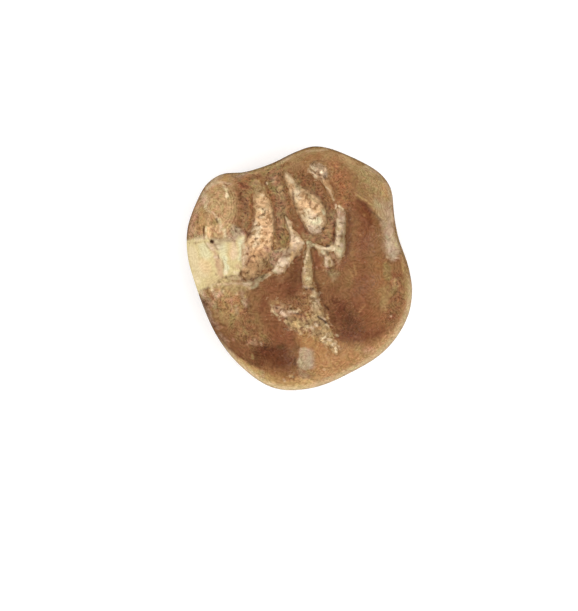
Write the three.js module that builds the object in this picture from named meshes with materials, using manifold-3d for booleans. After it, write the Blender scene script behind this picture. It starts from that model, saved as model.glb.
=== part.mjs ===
// A fossil rodent cheek tooth: a low crown seen with its chewing surface up, on three broken root stubs.
// Millimetres. +Z points out of the chewing surface, +Y to the cheek side, +X to the front of the jaw.
// The origin lies under the middle of the crown, on the plane of the broken root ends.
import * as THREE from "three";
import { mergeVertices } from "three/addons/utils/BufferGeometryUtils.js";
import Module from "manifold-3d";

const wasm = await Module();
wasm.setup();

// Driving heights
const CROWN_TOP = 1.66;
const WIDEST_LEVEL = 1.3; // where the crown bulges most, on its cheek side
const TONGUE_SIDE_DROP = 0.12; // how much lower it bulges on its tongue side
const NECK_LEVEL = 0.5;
// Below there, from the wall past the neck to the middle of the underside: [share of the outline, height]
const LOWER_PROFILE = [
  [1, WIDEST_LEVEL], [0.995, 1.12], [0.98, 0.92], [0.945, 0.72], [0.9, 0.57], [0.88, NECK_LEVEL],
  [0.86, 0.42], [0.83, 0.36], [0.75, 0.33], [0.6, 0.34], [0.3, 0.4], [0, 0.42],
];

// Fineness of the crown's surface
const SPHERE_DETAIL = 19;
const TOP_SHARE = 0.7; // of the triangles, how many lie on the chewing surface

// The crown's outline from above: [direction in degrees from +X, radius]
const OUTLINE = [
  [0, 1.37], [15, 1.3], [25, 1.325], [33, 1.4], [42, 1.53], [52, 1.56], [66, 1.55],
  [80, 1.555], [92, 1.47], [103, 1.38], [113, 1.37], [121, 1.415], [129, 1.54], [137, 1.575],
  [147, 1.54], [160, 1.495], [172, 1.42], [188, 1.32], [203, 1.295], [220, 1.335], [240, 1.425],
  [258, 1.52], [275, 1.495], [296, 1.44], [318, 1.475], [337, 1.475], [350, 1.43],
];

// The chewing surface. Rounded swellings: [x, y, reach along x, reach along y, height]
const CUSPS = [
  [-0.98, 0.82, 0.42, 0.4, 0.12], // back cheek cusp
  [0.22, 1.2, 0.36, 0.3, 0.1], // middle cheek cusp
  [0.78, 0.95, 0.36, 0.36, 0.12], // front cheek cusp
  [0.62, -0.4, 0.4, 0.5, 0.13], // front tongue-side cusp
  [-0.42, -0.92, 0.5, 0.42, 0.12], // back tongue-side cusp
  [-0.15, -0.2, 0.3, 0.32, 0.05], // joining ridge
];

// Ridges of enamel: height, then a path of [x, y, half width]
const RIDGES = [
  [0.06, [[-0.8, 1.1, 0.09], [-0.7, 0.88, 0.1], [-0.7, 0.6, 0.09], [-0.72, 0.4, 0.07]]],
  [0.06, [[-0.3, 1.12, 0.08], [-0.23, 0.8, 0.1], [-0.25, 0.5, 0.1], [-0.3, 0.22, 0.07]]],
  [0.07, [[0.02, 1.3, 0.07], [0.2, 1.05, 0.08], [0.33, 0.75, 0.08], [0.3, 0.4, 0.08]]],
  [0.07, [[0.62, 1.3, 0.08], [0.62, 0.98, 0.09], [0.78, 0.84, 0.08], [1.02, 0.6, 0.07]]],
];

// Soft open hollows in the enamel: depth, then a path of [x, y, half width]
const HOLLOWS = [
  [0.07, [[0.66, 0.85, 0.12], [0.8, 0.55, 0.18], [0.76, 0.15, 0.16]]], // inside the front crest
  [0.05, [[0.22, -0.85, 0.1], [0.12, -1.1, 0.16], [0.1, -1.4, 0.2]]], // between the tongue-side cusps
  [0.04, [[-0.72, -0.35, 0.2], [-0.95, -0.5, 0.22]]], // slope below the chipped face
  [0.06, [[1, 0.5, 0.14], [1.06, 0.15, 0.14]]], // waist of the front margin
];

// Valleys packed with hard silt: depth of the silt below the rim, then a path of [x, y, half width]
const VALLEYS = [
  [0.1, [
    [-0.54, 1.03, 0.05], [-0.49, 0.89, 0.09], [-0.45, 0.71, 0.11], [-0.45, 0.54, 0.13],
    [-0.49, 0.38, 0.17], [-0.5, 0.23, 0.19], [-0.54, 0.07, 0.17], [-0.59, -0.07, 0.11],
  ]],
  [0.09, [
    [-0.17, 1.19, 0.02], [-0.11, 1.08, 0.045], [-0.04, 0.96, 0.075], [0.05, 0.83, 0.12],
    [0.14, 0.71, 0.14], [0.19, 0.59, 0.125], [0.21, 0.49, 0.09],
  ]],
  [0.06, [
    [-0.19, 0.67, 0.02], [-0.15, 0.54, 0.03], [-0.1, 0.43, 0.055], [-0.06, 0.3, 0.085],
    [-0.17, 0.16, 0.075], [-0.26, 0.06, 0.08], [-0.32, -0.03, 0.05], [-0.45, -0.1, 0.03],
  ]],
  [0.07, [[0.22, 1.24, 0.11], [0.24, 1.25, 0.11]]],
  [0.1, [
    [0.42, 0.79, 0.025], [0.47, 0.77, 0.05], [0.51, 0.69, 0.07], [0.5, 0.54, 0.06],
    [0.5, 0.39, 0.06], [0.49, 0.27, 0.06], [0.47, 0.17, 0.04],
  ]],
  [0.05, [[0.44, 0.27, 0.035], [0.31, 0.26, 0.035], [0.21, 0.28, 0.03]]],
  [0.1, [
    [0.09, 0.31, 0.025], [0.1, 0.21, 0.04], [0.11, 0.07, 0.055], [0.11, -0.08, 0.06],
    [0.12, -0.21, 0.06], [0.16, -0.33, 0.07], [0.2, -0.47, 0.095], [0.24, -0.61, 0.11],
    [0.3, -0.74, 0.1], [0.38, -0.87, 0.075], [0.44, -0.98, 0.04],
  ]],
  [0.06, [[-0.35, -0.44, 0.04], [-0.26, -0.51, 0.07], [-0.12, -0.57, 0.08], [0.12, -0.67, 0.075]]],
];
const WALL_WIDTH = 0.07; // a valley's wall falls over this width
const SILT_ROUGHNESS = 0.012;

// The chipped face on the back of the crown, where pale dentine shows: middle, reach and depth
const CHIP = { x: -1.18, y: 0.06, reachX: 0.4, reachY: 0.34, depth: 0.05 };

// Root stubs: [x, y, radius along x, radius along y]
const ROOTS = [
  [-0.7, 0.54, 0.38, 0.35], // back cheek root
  [0.66, 0.62, 0.41, 0.37], // front cheek root
  [0.02, -0.85, 0.64, 0.36], // broad tongue-side root
];
const ROOT_SIDES = 24;
const ROOT_WAVE = 0.05; // how far a root is out of round, over its radius
// A root from its canal to its seat in the crown: [share of the radius, height]
const ROOT_PROFILE = [
  [0, 0.14], [0.12, 0.12], [0.2, 0], [0.82, 0], [0.88, 0.05], [0.92, 0.18],
  [1, 0.3], [1.16, 0.42], [1.05, 0.6], [0, 0.7],
];

const clamp01 = (t) => Math.min(Math.max(t, 0), 1);
const smoothstep = (t) => clamp01(t) ** 2 * (3 - 2 * clamp01(t));

// The outline's radius in one direction: a smooth curve through the outline's points
function outlineRadius(angle) {
  const degrees = ((THREE.MathUtils.radToDeg(angle) % 360) + 360) % 360;
  const count = OUTLINE.length;
  const point = (i) => {
    const turn = Math.floor(i / count);
    const [direction, radius] = OUTLINE[i - turn * count];
    return [direction + 360 * turn, radius];
  };
  let k = count - 1;
  while (OUTLINE[k][0] > degrees) k -= 1;
  const [before, from, to, after] = [k - 1, k, k + 1, k + 2].map(point);
  const width = to[0] - from[0];
  const slopeFrom = ((to[1] - before[1]) / (to[0] - before[0])) * width;
  const slopeTo = ((after[1] - from[1]) / (after[0] - from[0])) * width;
  const t = (degrees - from[0]) / width;
  return (
    from[1] * (1 - 3 * t ** 2 + 2 * t ** 3) +
    to[1] * (3 * t ** 2 - 2 * t ** 3) +
    slopeFrom * (t - 2 * t ** 2 + t ** 3) +
    slopeTo * (t ** 3 - t ** 2)
  );
}

// Where a point lies beside a tapering path: its distance to the middle, and the half width there
function besidePath(x, y, path) {
  let nearest = { away: Infinity, width: 0 };
  for (let i = 0; i + 1 < path.length; i += 1) {
    const [ax, ay, aw] = path[i];
    const [bx, by, bw] = path[i + 1];
    const t = clamp01(((x - ax) * (bx - ax) + (y - ay) * (by - ay)) / ((bx - ax) ** 2 + (by - ay) ** 2));
    const away = Math.hypot(x - ax - t * (bx - ax), y - ay - t * (by - ay));
    const width = aw + t * (bw - aw);
    if (away - width < nearest.away - nearest.width) nearest = { away, width };
  }
  return nearest;
}

// How far a point lies outside a tapering path: negative inside it
function pathDistance(x, y, path) {
  const { away, width } = besidePath(x, y, path);
  return away - width;
}

// How much a direction faces the tongue side, from 0 to 1
const TONGUE_DIRECTION = THREE.MathUtils.degToRad(-65);
const towardsTongue = (angle) => 0.5 + 0.5 * Math.cos(angle - TONGUE_DIRECTION);
const widestLevel = (angle) => WIDEST_LEVEL - TONGUE_SIDE_DROP * towardsTongue(angle);

// Low rolling height without relief: it falls sooner on the tongue side than on the cheek side
const LEAN = 0.4;
const SQUARENESS = 4; // the higher, the flatter the middle and the tighter the edge
function domeHeight(x, y) {
  const angle = Math.atan2(y, x);
  const share = clamp01(Math.hypot(x, y) / outlineRadius(angle));
  const eased = share + LEAN * towardsTongue(angle) * share ** 2 * (1 - share);
  const edge = widestLevel(angle);
  return edge + (CROWN_TOP - edge) * Math.sqrt(Math.max(1 - eased ** SQUARENESS, 0));
}

// Height that the cusps, ridges, hollows, valleys, silt and chip add to the dome
function relief(x, y) {
  let height = 0;
  for (const [cx, cy, reachX, reachY, rise] of CUSPS)
    height += rise * Math.exp(-(((x - cx) / reachX) ** 2) - ((y - cy) / reachY) ** 2);
  for (const [rise, path] of RIDGES)
    height += rise * (1 - smoothstep((pathDistance(x, y, path) + 0.06) / 0.14));
  for (const [depth, path] of HOLLOWS) {
    const { away, width } = besidePath(x, y, path);
    height -= depth * Math.exp(-((away / width) ** 2));
  }
  let silt = 0;
  for (const [depth, path] of VALLEYS)
    silt = Math.max(silt, depth * (1 - smoothstep(pathDistance(x, y, path) / WALL_WIDTH + 0.5)));
  height -= silt;
  if (silt > 0)
    height += SILT_ROUGHNESS * Math.sin(61 * x + 23 * y) * Math.sin(57 * y - 19 * x);
  const chipReach = Math.hypot((x - CHIP.x) / CHIP.reachX, (y - CHIP.y) / CHIP.reachY);
  return height - CHIP.depth * (1 - smoothstep((chipReach - 0.8) / 0.3));
}

// The share of the chewing surface's triangles that should lie within an angle of the dome's profile
const RIM_WEIGHT = 0.3;
function topAngle(share) {
  let low = 0;
  let high = Math.PI / 2;
  for (let step = 0; step < 30; step += 1) {
    const middle = (low + high) / 2;
    const area = Math.sin(middle) ** (4 / SQUARENESS);
    const inside = (1 - RIM_WEIGHT) * area + RIM_WEIGHT * (1 - Math.cos(middle));
    if (inside < share) low = middle;
    else high = middle;
  }
  return (low + high) / 2;
}

const lowerPoints = LOWER_PROFILE.map(([share, height]) => new THREE.Vector2(share, height));
const lowerWall = new THREE.SplineCurve(lowerPoints);

// One point of a round ball moved to its place on the crown
function crownPoint(direction) {
  const angle = Math.atan2(direction.y, direction.x);
  const radius = outlineRadius(angle);
  const share = (1 - direction.z) / 2;
  if (share < TOP_SHARE) {
    const reach = Math.sin(topAngle(share / TOP_SHARE)) ** (2 / SQUARENESS);
    const x = reach * radius * Math.cos(angle);
    const y = reach * radius * Math.sin(angle);
    const fade = smoothstep((1 - reach) / 0.12);
    return new THREE.Vector3(x, y, domeHeight(x, y) + fade * relief(x, y));
  }
  const along = Math.min((share - TOP_SHARE) / (1 - TOP_SHARE), 1);
  const { x: reach, y: level } = lowerWall.getPointAt(1 - Math.sqrt(1 - along));
  const rise = clamp01((level - NECK_LEVEL) / (WIDEST_LEVEL - NECK_LEVEL));
  const z = level - rise * (WIDEST_LEVEL - widestLevel(angle));
  return new THREE.Vector3(reach * radius * Math.cos(angle), reach * radius * Math.sin(angle), z);
}

// A closed surface as a solid that can be joined to others
function solidFrom(geometry) {
  geometry.deleteAttribute("normal");
  geometry.deleteAttribute("uv");
  const merged = mergeVertices(geometry, 1e-5);
  return new wasm.Manifold(
    new wasm.Mesh({
      numProp: 3,
      vertProperties: new Float32Array(merged.attributes.position.array),
      triVerts: new Uint32Array(merged.index.array),
    }),
  );
}

function crownSolid() {
  const geometry = new THREE.IcosahedronGeometry(1, SPHERE_DETAIL);
  const position = geometry.attributes.position;
  const direction = new THREE.Vector3();
  for (let i = 0; i < position.count; i += 1) {
    const place = crownPoint(direction.fromBufferAttribute(position, i).normalize());
    position.setXYZ(i, place.x, place.y, place.z);
  }
  return solidFrom(geometry);
}

// A root stub: it flares into the crown, and its broken end is flat, with the canal's small pit in it
function rootSolid([x, y, radiusX, radiusY]) {
  const profile = ROOT_PROFILE.map(([share, height]) => new THREE.Vector2(share, height));
  const geometry = new THREE.LatheGeometry(profile, ROOT_SIDES);
  geometry.rotateX(Math.PI / 2);
  const position = geometry.attributes.position;
  for (let i = 0; i < position.count; i += 1) {
    const angle = Math.atan2(position.getY(i), position.getX(i));
    const wave = 1 + ROOT_WAVE * (Math.cos(3 * angle + x * 4) + 0.6 * Math.cos(5 * angle - y * 3));
    const px = x + position.getX(i) * wave * radiusX;
    const py = y + position.getY(i) * wave * radiusY;
    position.setXYZ(i, px, py, position.getZ(i));
  }
  return solidFrom(geometry);
}

// The joined solid's surface, as triangles
function geometryFrom(solid) {
  const { numProp, vertProperties, triVerts } = solid.getMesh();
  const vertices = new THREE.InterleavedBuffer(vertProperties, numProp);
  const geometry = new THREE.BufferGeometry();
  geometry.setAttribute("position", new THREE.InterleavedBufferAttribute(vertices, 3, 0));
  geometry.setIndex(new THREE.BufferAttribute(triVerts, 1));
  geometry.computeVertexNormals();
  return geometry;
}

const toothSolid = ROOTS.map(rootSolid).reduce((whole, root) => whole.add(root), crownSolid());
const enamel = new THREE.MeshStandardMaterial({ color: 0x8b5d40, roughness: 0.3, metalness: 0 });
const tooth = new THREE.Mesh(geometryFrom(toothSolid), enamel);
tooth.name = "tooth";

const fossil = new THREE.Group();
fossil.add(tooth);
export default fossil;
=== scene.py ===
"""A fossil rodent cheek tooth: brown enamel, pale dentine in a chipped face, and hard silt in its valleys.

The CAD tooth's mesh is divided finely and its chewing surface is drawn again with crisp valley walls and
grain. Each stain, speck and crack is then laid on it as a stroke with a soft or a sharp edge.
Lengths are millimetres in the part's own frame, except that a path is a list of (x, y, half width) in
whole micrometres. Meshes, lights and the camera are in metres.
"""

import math

import bmesh
import bpy
import numpy as np
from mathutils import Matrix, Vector, noise


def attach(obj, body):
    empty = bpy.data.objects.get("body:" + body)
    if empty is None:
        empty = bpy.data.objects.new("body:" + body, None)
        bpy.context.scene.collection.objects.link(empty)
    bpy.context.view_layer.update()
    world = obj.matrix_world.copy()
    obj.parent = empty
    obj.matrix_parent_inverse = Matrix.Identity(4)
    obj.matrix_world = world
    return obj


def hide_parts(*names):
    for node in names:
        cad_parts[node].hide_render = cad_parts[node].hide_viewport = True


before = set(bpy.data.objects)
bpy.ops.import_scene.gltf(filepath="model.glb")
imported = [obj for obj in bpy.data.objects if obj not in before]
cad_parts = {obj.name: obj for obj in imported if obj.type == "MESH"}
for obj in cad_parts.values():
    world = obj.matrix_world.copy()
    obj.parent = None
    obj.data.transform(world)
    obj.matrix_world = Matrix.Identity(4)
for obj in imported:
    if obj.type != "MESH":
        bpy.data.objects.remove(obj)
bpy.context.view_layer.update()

MM = 0.001  # a millimetre in metres
MICROMETRE = 0.001  # a micrometre in millimetres

# ---------------------------------------------------------------- crown form

CROWN_TOP = 1.66
WIDEST_LEVEL = 1.3  # where the crown is widest, on its cheek side
TONGUE_SIDE_DROP = 0.12  # how much lower that is on the tongue side
NECK_LEVEL = 0.5
LEAN = 0.4  # how much sooner the dome falls off towards the tongue
SQUARENESS = 4  # power of the dome's curve; 2 would be round
TONGUE_DIRECTION = math.radians(-65)

# The crown's outline from above: (direction in degrees from +X, radius)
OUTLINE = [
    (0, 1.37), (15, 1.3), (25, 1.325), (33, 1.4), (42, 1.53), (52, 1.56), (66, 1.55),
    (80, 1.555), (92, 1.47), (103, 1.38), (113, 1.37), (121, 1.415), (129, 1.54), (137, 1.575),
    (147, 1.54), (160, 1.495), (172, 1.42), (188, 1.32), (203, 1.295), (220, 1.335), (240, 1.425),
    (258, 1.52), (275, 1.495), (296, 1.44), (318, 1.475), (337, 1.475), (350, 1.43),
]

# Slight swellings of the rim: (direction in degrees, spread in degrees, share of the radius)
RIM_SWELLS = [(50, 6, 0.006), (85, 6, 0.01), (140, 8, 0.004)]

# Rounded swellings: (x, y, reach along x, reach along y, height)
CUSPS = [
    (-0.98, 0.82, 0.42, 0.4, 0.12),
    (0.22, 1.2, 0.36, 0.3, 0.1),
    (0.78, 0.95, 0.36, 0.36, 0.12),
    (0.62, -0.4, 0.4, 0.5, 0.13),
    (-0.42, -0.92, 0.5, 0.42, 0.12),
    (-0.15, -0.2, 0.3, 0.32, 0.05),
]

# Ridges of enamel: (height, path of (x, y, half width))
RIDGES = [
    (0.06, [(-800, 1100, 90), (-700, 880, 100), (-700, 600, 90), (-720, 400, 70)]),
    (0.06, [(-300, 1120, 80), (-230, 800, 100), (-250, 500, 100), (-300, 220, 70)]),
    (0.07, [(20, 1300, 70), (200, 1050, 80), (330, 750, 80), (300, 400, 80)]),
    (0.07, [(620, 1300, 80), (620, 980, 90), (780, 840, 80), (1020, 600, 70)]),
]
# How wide a ridge's flank is, and how much of it lies within the ridge's own width
RIDGE_FLANK = 0.14
RIDGE_FLANK_INSIDE = 0.06

# Soft open hollows: (depth, path)
HOLLOWS = [
    (0.07, [(660, 850, 120), (800, 550, 180), (760, 150, 160)]),
    (0.05, [(220, -850, 100), (120, -1100, 160), (100, -1400, 200)]),
    (0.04, [(-720, -350, 200), (-950, -500, 220)]),
    (0.06, [(1000, 500, 140), (1060, 150, 140)]),
]

# Valleys packed with hard silt, each a path
BACK_VALLEY = [
    (-518, 994, 50), (-493, 907, 87), (-456, 770, 107), (-438, 645, 128), (-451, 508, 140),
    (-495, 384, 163), (-527, 260, 181), (-559, 135, 169), (-603, -14, 125), (-628, -88, 75),
]
MIDDLE_VALLEY = [
    (-187, 1211, 17), (-131, 1118, 53), (-82, 1030, 68), (-32, 943, 99), (61, 868, 144), (129, 756, 169),
    (178, 619, 150), (191, 545, 113),
]
MIDDLE_ARM = [
    (-195, 707, 7), (-152, 595, 22), (-109, 483, 37), (-59, 396, 60), (-28, 321, 81), (-78, 246, 81),
]
BACK_ARM = [
    (-78, 246, 81), (-160, 160, 81), (-210, 73, 75), (-260, 4, 65), (-329, -27, 25), (-429, -83, 22),
    (-528, -151, 25), (-616, -188, 28), (-715, -157, 13),
]
FRONT_PIT = [(200, 1248, 77), (262, 1204, 90)]
FRONT_SLIT = [(311, 1117, 45), (354, 1017, 37), (391, 930, 28), (410, 868, 13)]
FRONT_VALLEY = [
    (484, 731, 30), (509, 681, 55), (513, 581, 60), (508, 420, 57), (497, 295, 70), (494, 221, 62),
    (488, 171, 37),
]
FRONT_HOOK = [(439, 277, 50), (345, 248, 29), (258, 252, 35), (183, 296, 22), (109, 327, 20)]
FRONT_BLOB = [(283, 221, 33), (332, 159, 37), (359, 84, 50), (394, 84, 37)]
CENTRE_HEAD = [
    (109, 327, 17), (102, 234, 22), (102, 147, 42), (101, 47, 57), (95, -90, 62), (107, -202, 60),
]
CENTRE_VALLEY = [
    (107, -202, 57), (162, -314, 53), (180, -438, 60), (205, -563, 82), (248, -700, 98), (316, -824, 85),
    (390, -924, 55), (446, -999, 25), (452, -1049, 13),
]
SIDE_BASIN = [
    (-305, -462, 30), (-256, -500, 57), (-181, -550, 75), (-69, -625, 100), (42, -687, 94),
    (142, -687, 87),
]

# (depth of the silt below the rim, width of the wall, softness of the silt's edge, unevenness, path)
VALLEYS = [
    (0.09, 0.06, 0.11, 1.0, BACK_VALLEY),
    (0.09, 0.04, 0.07, 0.7, MIDDLE_VALLEY),
    (0.05, 0.04, 0.07, 0.6, MIDDLE_ARM),
    (0.05, 0.04, 0.09, 1.0, BACK_ARM),
    (0.07, 0.05, 0.11, 1.0, FRONT_PIT),
    (0.04, 0.03, 0.05, 0.6, FRONT_SLIT),
    (0.09, 0.035, 0.05, 0.3, FRONT_VALLEY),
    (0.05, 0.03, 0.05, 0.4, FRONT_HOOK),
    (0.04, 0.03, 0.09, 0.6, FRONT_BLOB),
    (0.06, 0.05, 0.08, 0.3, CENTRE_HEAD),
    (0.06, 0.07, 0.16, 1.2, CENTRE_VALLEY),
    (0.03, 0.12, 0.3, 1.2, SIDE_BASIN),
]

# The chipped face on the back of the crown, where pale dentine shows
DENTINE = [
    [(-1386, 348, 25), (-1237, 354, 31), (-1037, 342, 31), (-963, 323, 25)],
    [(-1176, -88, 100), (-1139, -187, 37)],
    [(-1449, 311, 37), (-1362, 211, 125), (-1312, 62, 200), (-1251, -112, 150), (-1289, -262, 37)],
    [(-1362, 87, 200), (-1200, 87, 263), (-1151, 12, 212)],
    [(-1151, -13, 188), (-1076, -75, 87)],
    [(-732, 347, 62), (-739, 210, 75), (-752, 86, 81), (-802, 11, 69)],
    [(-1050, 211, 100), (-888, 236, 113), (-839, 86, 100), (-939, 12, 100)],
    [(-889, -13, 62), (-790, -38, 25)],
]
DENTINE_DEPTH = 0.02
DENTINE_EDGE = 0.12
DENTINE_FOOT = 0.7

# Ridges and patches whose enamel is etched and rough: (how rough, path)
RUGGED = [
    (0.35, [(-1172, 920, 150), (-961, 858, 225), (-962, 584, 200)]),
    (1.0, [(-661, 1131, 125), (-637, 795, 113), (-638, 422, 75)]),
    (1.3, [(-299, 1205, 125), (-250, 857, 113), (-240, 359, 113)]),
    (1.3, [(12, 1105, 87), (211, 905, 87), (384, 669, 62), (395, 358, 62), (159, 408, 75)]),
    (0.8, [(-1335, 672, 100), (-1324, 423, 100)]),
    (0.6, [(-1053, -361, 150), (-804, -486, 175), (-680, -760, 150), (-469, -947, 125)]),
    (1.2, [(-366, 85, 125), (-116, 209, 113)]),
    (0.6, [(6, -513, 225), (279, -762, 175)]),
    (0.7, [(1203, -142, 75), (1227, -390, 75), (1102, -614, 87)]),
    (1.0, [(369, 84, 75), (394, 22, 75)]),
    (0.45, [(834, 1153, 113), (983, 979, 100)]),
    (0.35, [(479, -439, 125), (628, -663, 175)]),
    (0.7, [(461, 1253, 87), (535, 1029, 100), (596, 805, 75)]),
    (0.3, [(2, -1359, 100), (626, -1198, 113), (1063, -950, 113), (1252, -515, 75)]),
    (0.3, [(-471, -1333, 75), (-744, -1109, 62)]),
]

# How coarse the silt's grain is and how full of small holes: (share, path)
PITTED = [
    (0.3, [(-499, 981, 62), (-438, 732, 87)]),
    (0.5, [(-451, 670, 113), (-489, 297, 175), (-565, -14, 125)]),
    (0.45, [(-63, 1043, 50), (86, 819, 125), (160, 706, 125)]),
    (0.25, [(197, 607, 138), (209, 507, 113)]),
    (0.9, [(187, 1254, 87), (262, 1192, 87)]),
    (0.25, [(-127, 545, 37), (-28, 334, 75), (-216, 85, 100)]),
    (0.1, [(509, 731, 75), (520, 407, 75)]),
    (0.3, [(320, 134, 50), (357, 71, 62)]),
    (0.25, [(108, 109, 62), (119, -214, 75)]),
    (0.4, [(181, -314, 75), (205, -463, 100)]),
    (0.45, [(230, -563, 125), (279, -737, 150), (403, -949, 100)]),
    (0.4, [(-306, -487, 100), (-119, -587, 125), (80, -687, 125)]),
]

# Small pits and open cracks: (depth, softness, path)
PITS = [
    (0.05, 0.02, [(-1093, 348, 15), (-1091, 345, 15)]),
    (0.035, 0.02, [(333, 292, 17), (358, 292, 15)]),
    (0.02, 0.015, [(230, -588, 6), (292, -625, 6), (323, -663, 9)]),
    (0.02, 0.015, [(305, -445, 6), (355, -501, 6)]),
    (0.02, 0.015, [(-1195, 547, 5), (-1199, 473, 6), (-1193, 385, 5)]),
    (0.015, 0.015, [(144, -245, 7), (82, -245, 10)]),
    (0.02, 0.02, [(-287, -481, 7), (-284, -481, 7)]),
    (0.015, 0.02, [(296, 507, 13), (300, 507, 13)]),
    (0.015, 0.02, [(-475, 720, 7), (-438, 701, 7)]),
]

# The worn facet whose growth lines show, and the point that they curve round
FACET = [
    [(-935, 1032, 37), (-848, 883, 62), (-824, 733, 75), (-850, 584, 62), (-887, 435, 50)],
]
LINES_MIDDLE = (-1.073, 0.783)
LINES_SQUEEZE = 1.25  # closer together along x
WALL_LINES_STRETCH = 0.8


def rising(value, start, width):
    """0 up to the start, 1 past the width, and a smooth step between."""
    t = np.clip((value - start) / width, 0.0, 1.0)
    return t * t * (3 - 2 * t)


def outline_radius(angle):
    """The outline's radius in each direction, on a smooth closed curve through its points."""
    directions = np.array([d for d, _ in OUTLINE], float)
    radii = np.array([r for _, r in OUTLINE], float)
    d = np.concatenate([directions - 360, directions, directions + 360])
    r = np.tile(radii, 3)
    slope = np.gradient(r, d)
    slope[1:-1] = (r[2:] - r[:-2]) / (d[2:] - d[:-2])
    degrees = np.degrees(angle) % 360
    k = np.searchsorted(d, degrees, side="right") - 1
    width = d[k + 1] - d[k]
    t = (degrees - d[k]) / width
    return (
        r[k] * (1 - 3 * t**2 + 2 * t**3)
        + r[k + 1] * (3 * t**2 - 2 * t**3)
        + slope[k] * width * (t - 2 * t**2 + t**3)
        + slope[k + 1] * width * (t**3 - t**2)
    )


def beside(x, y, path):
    """Where each point lies beside a tapering path: distance to its middle, and the half width there."""
    away = np.full(x.shape, np.inf)
    width = np.zeros(x.shape)
    path = np.array(path) * MICROMETRE
    for (ax, ay, aw), (bx, by, bw) in zip(path, path[1:]):
        length = (bx - ax) ** 2 + (by - ay) ** 2
        t = np.clip(((x - ax) * (bx - ax) + (y - ay) * (by - ay)) / length, 0, 1)
        gap = np.hypot(x - ax - t * (bx - ax), y - ay - t * (by - ay))
        here = aw + t * (bw - aw)
        nearer = gap - here < away - width
        away = np.where(nearer, gap, away)
        width = np.where(nearer, here, width)
    return away, width


def inside(x, y, path, softness):
    """1 inside a path's width, 0 outside it, with an edge as soft as asked."""
    away, width = beside(x, y, path)
    return 1 - rising(away - width, -softness / 2, softness)


def largest(x, y, paths, softness):
    """How far each point is covered by any of the paths."""
    return np.max([inside(x, y, path, softness) for path in paths], axis=0)


def share_of_outline(x, y):
    """How far out each point is, from 0 in the middle to 1 at the outline."""
    return np.hypot(x, y) / outline_radius(np.arctan2(y, x))


def towards_tongue(x, y):
    """1 on the tongue side and 0 on the side across from it."""
    return 0.5 + 0.5 * np.cos(np.arctan2(y, x) - TONGUE_DIRECTION)


def widest_level(x, y):
    """The level where the crown is widest and its chewing surface begins."""
    return WIDEST_LEVEL - TONGUE_SIDE_DROP * towards_tongue(x, y)


def dome_height(x, y):
    """Height of the chewing surface without its cusps, ridges, hollows and valleys."""
    share = np.clip(share_of_outline(x, y), 0, 1)
    eased = share + LEAN * towards_tongue(x, y) * share**2 * (1 - share)
    edge = widest_level(x, y)
    return edge + (CROWN_TOP - edge) * np.sqrt(np.clip(1 - eased**SQUARENESS, 0, 1))


def relief(x, y, nudge_x, nudge_y):
    """Height that the cusps, ridges, hollows and valleys add to the dome; the valleys have uneven edges."""
    height = np.zeros(x.shape)
    for cx, cy, reach_x, reach_y, rise in CUSPS:
        height += rise * np.exp(-(((x - cx) / reach_x) ** 2) - ((y - cy) / reach_y) ** 2)
    for rise, path in RIDGES:
        away, width = beside(x, y, path)
        height += rise * (1 - rising(away - width, -RIDGE_FLANK_INSIDE, RIDGE_FLANK))
    for depth, path in HOLLOWS:
        away, width = beside(x, y, path)
        height -= depth * np.exp(-((away / width) ** 2))
    silt = np.zeros(x.shape)
    for depth, wall, _, uneven, path in VALLEYS:
        silt = np.maximum(silt, depth * inside(x + uneven * nudge_x, y + uneven * nudge_y, path, wall))
    return height - silt


def clouds(x, y, z, size, seed):
    """Smooth noise from -1 to 1 whose lumps are about that many millimetres across."""
    offset = Vector((seed * 17.3, seed * 5.1, seed * 9.7))
    points = np.stack([x, y, z], 1) / size
    return np.array([noise.noise(Vector(p) + offset) for p in points])


# ---------------------------------------------------------------- colours

# Widths of a stroke's edge
LINE = 0.018
CRISP = 0.03
SOFT = 0.06
BROAD = 0.16
WIDE = 0.3

# The strokes' tones, in sRGB
TONES = {
    "black brown": "#40271b",
    "deep umber": "#55331d",
    "umber": "#63331b",
    "maroon": "#77422a",
    "rust": "#854f33",
    "chestnut": "#8e6441",
    "orange brown": "#a4714a",
    "honey": "#ad8a61",
    "ochre": "#b3865a",
    "orange tan": "#b18254",
    "golden": "#c9a46f",
    "khaki": "#bba276",
    "tawny": "#c4996c",
    "sand": "#cba97e",
    "olive": "#9b7e50",
    "olive tan": "#a28659",
    "dark olive": "#5c492b",
    "mauve": "#9e7956",
    "brown": "#98673f",
    "mauve tan": "#b4987c",
    "grey tan": "#bca58b",
    "grey green": "#a89b7a",
    "rose tan": "#c29079",
    "peach": "#f4ca9c",
    "pink cream": "#e3c9ae",
    "cream": "#ecd6b2",
    "bright cream": "#f8e4c2",
    "green cream": "#ded8b2",
    "yellow": "#d9c590",
    "lilac": "#b09a89",
}

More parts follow.
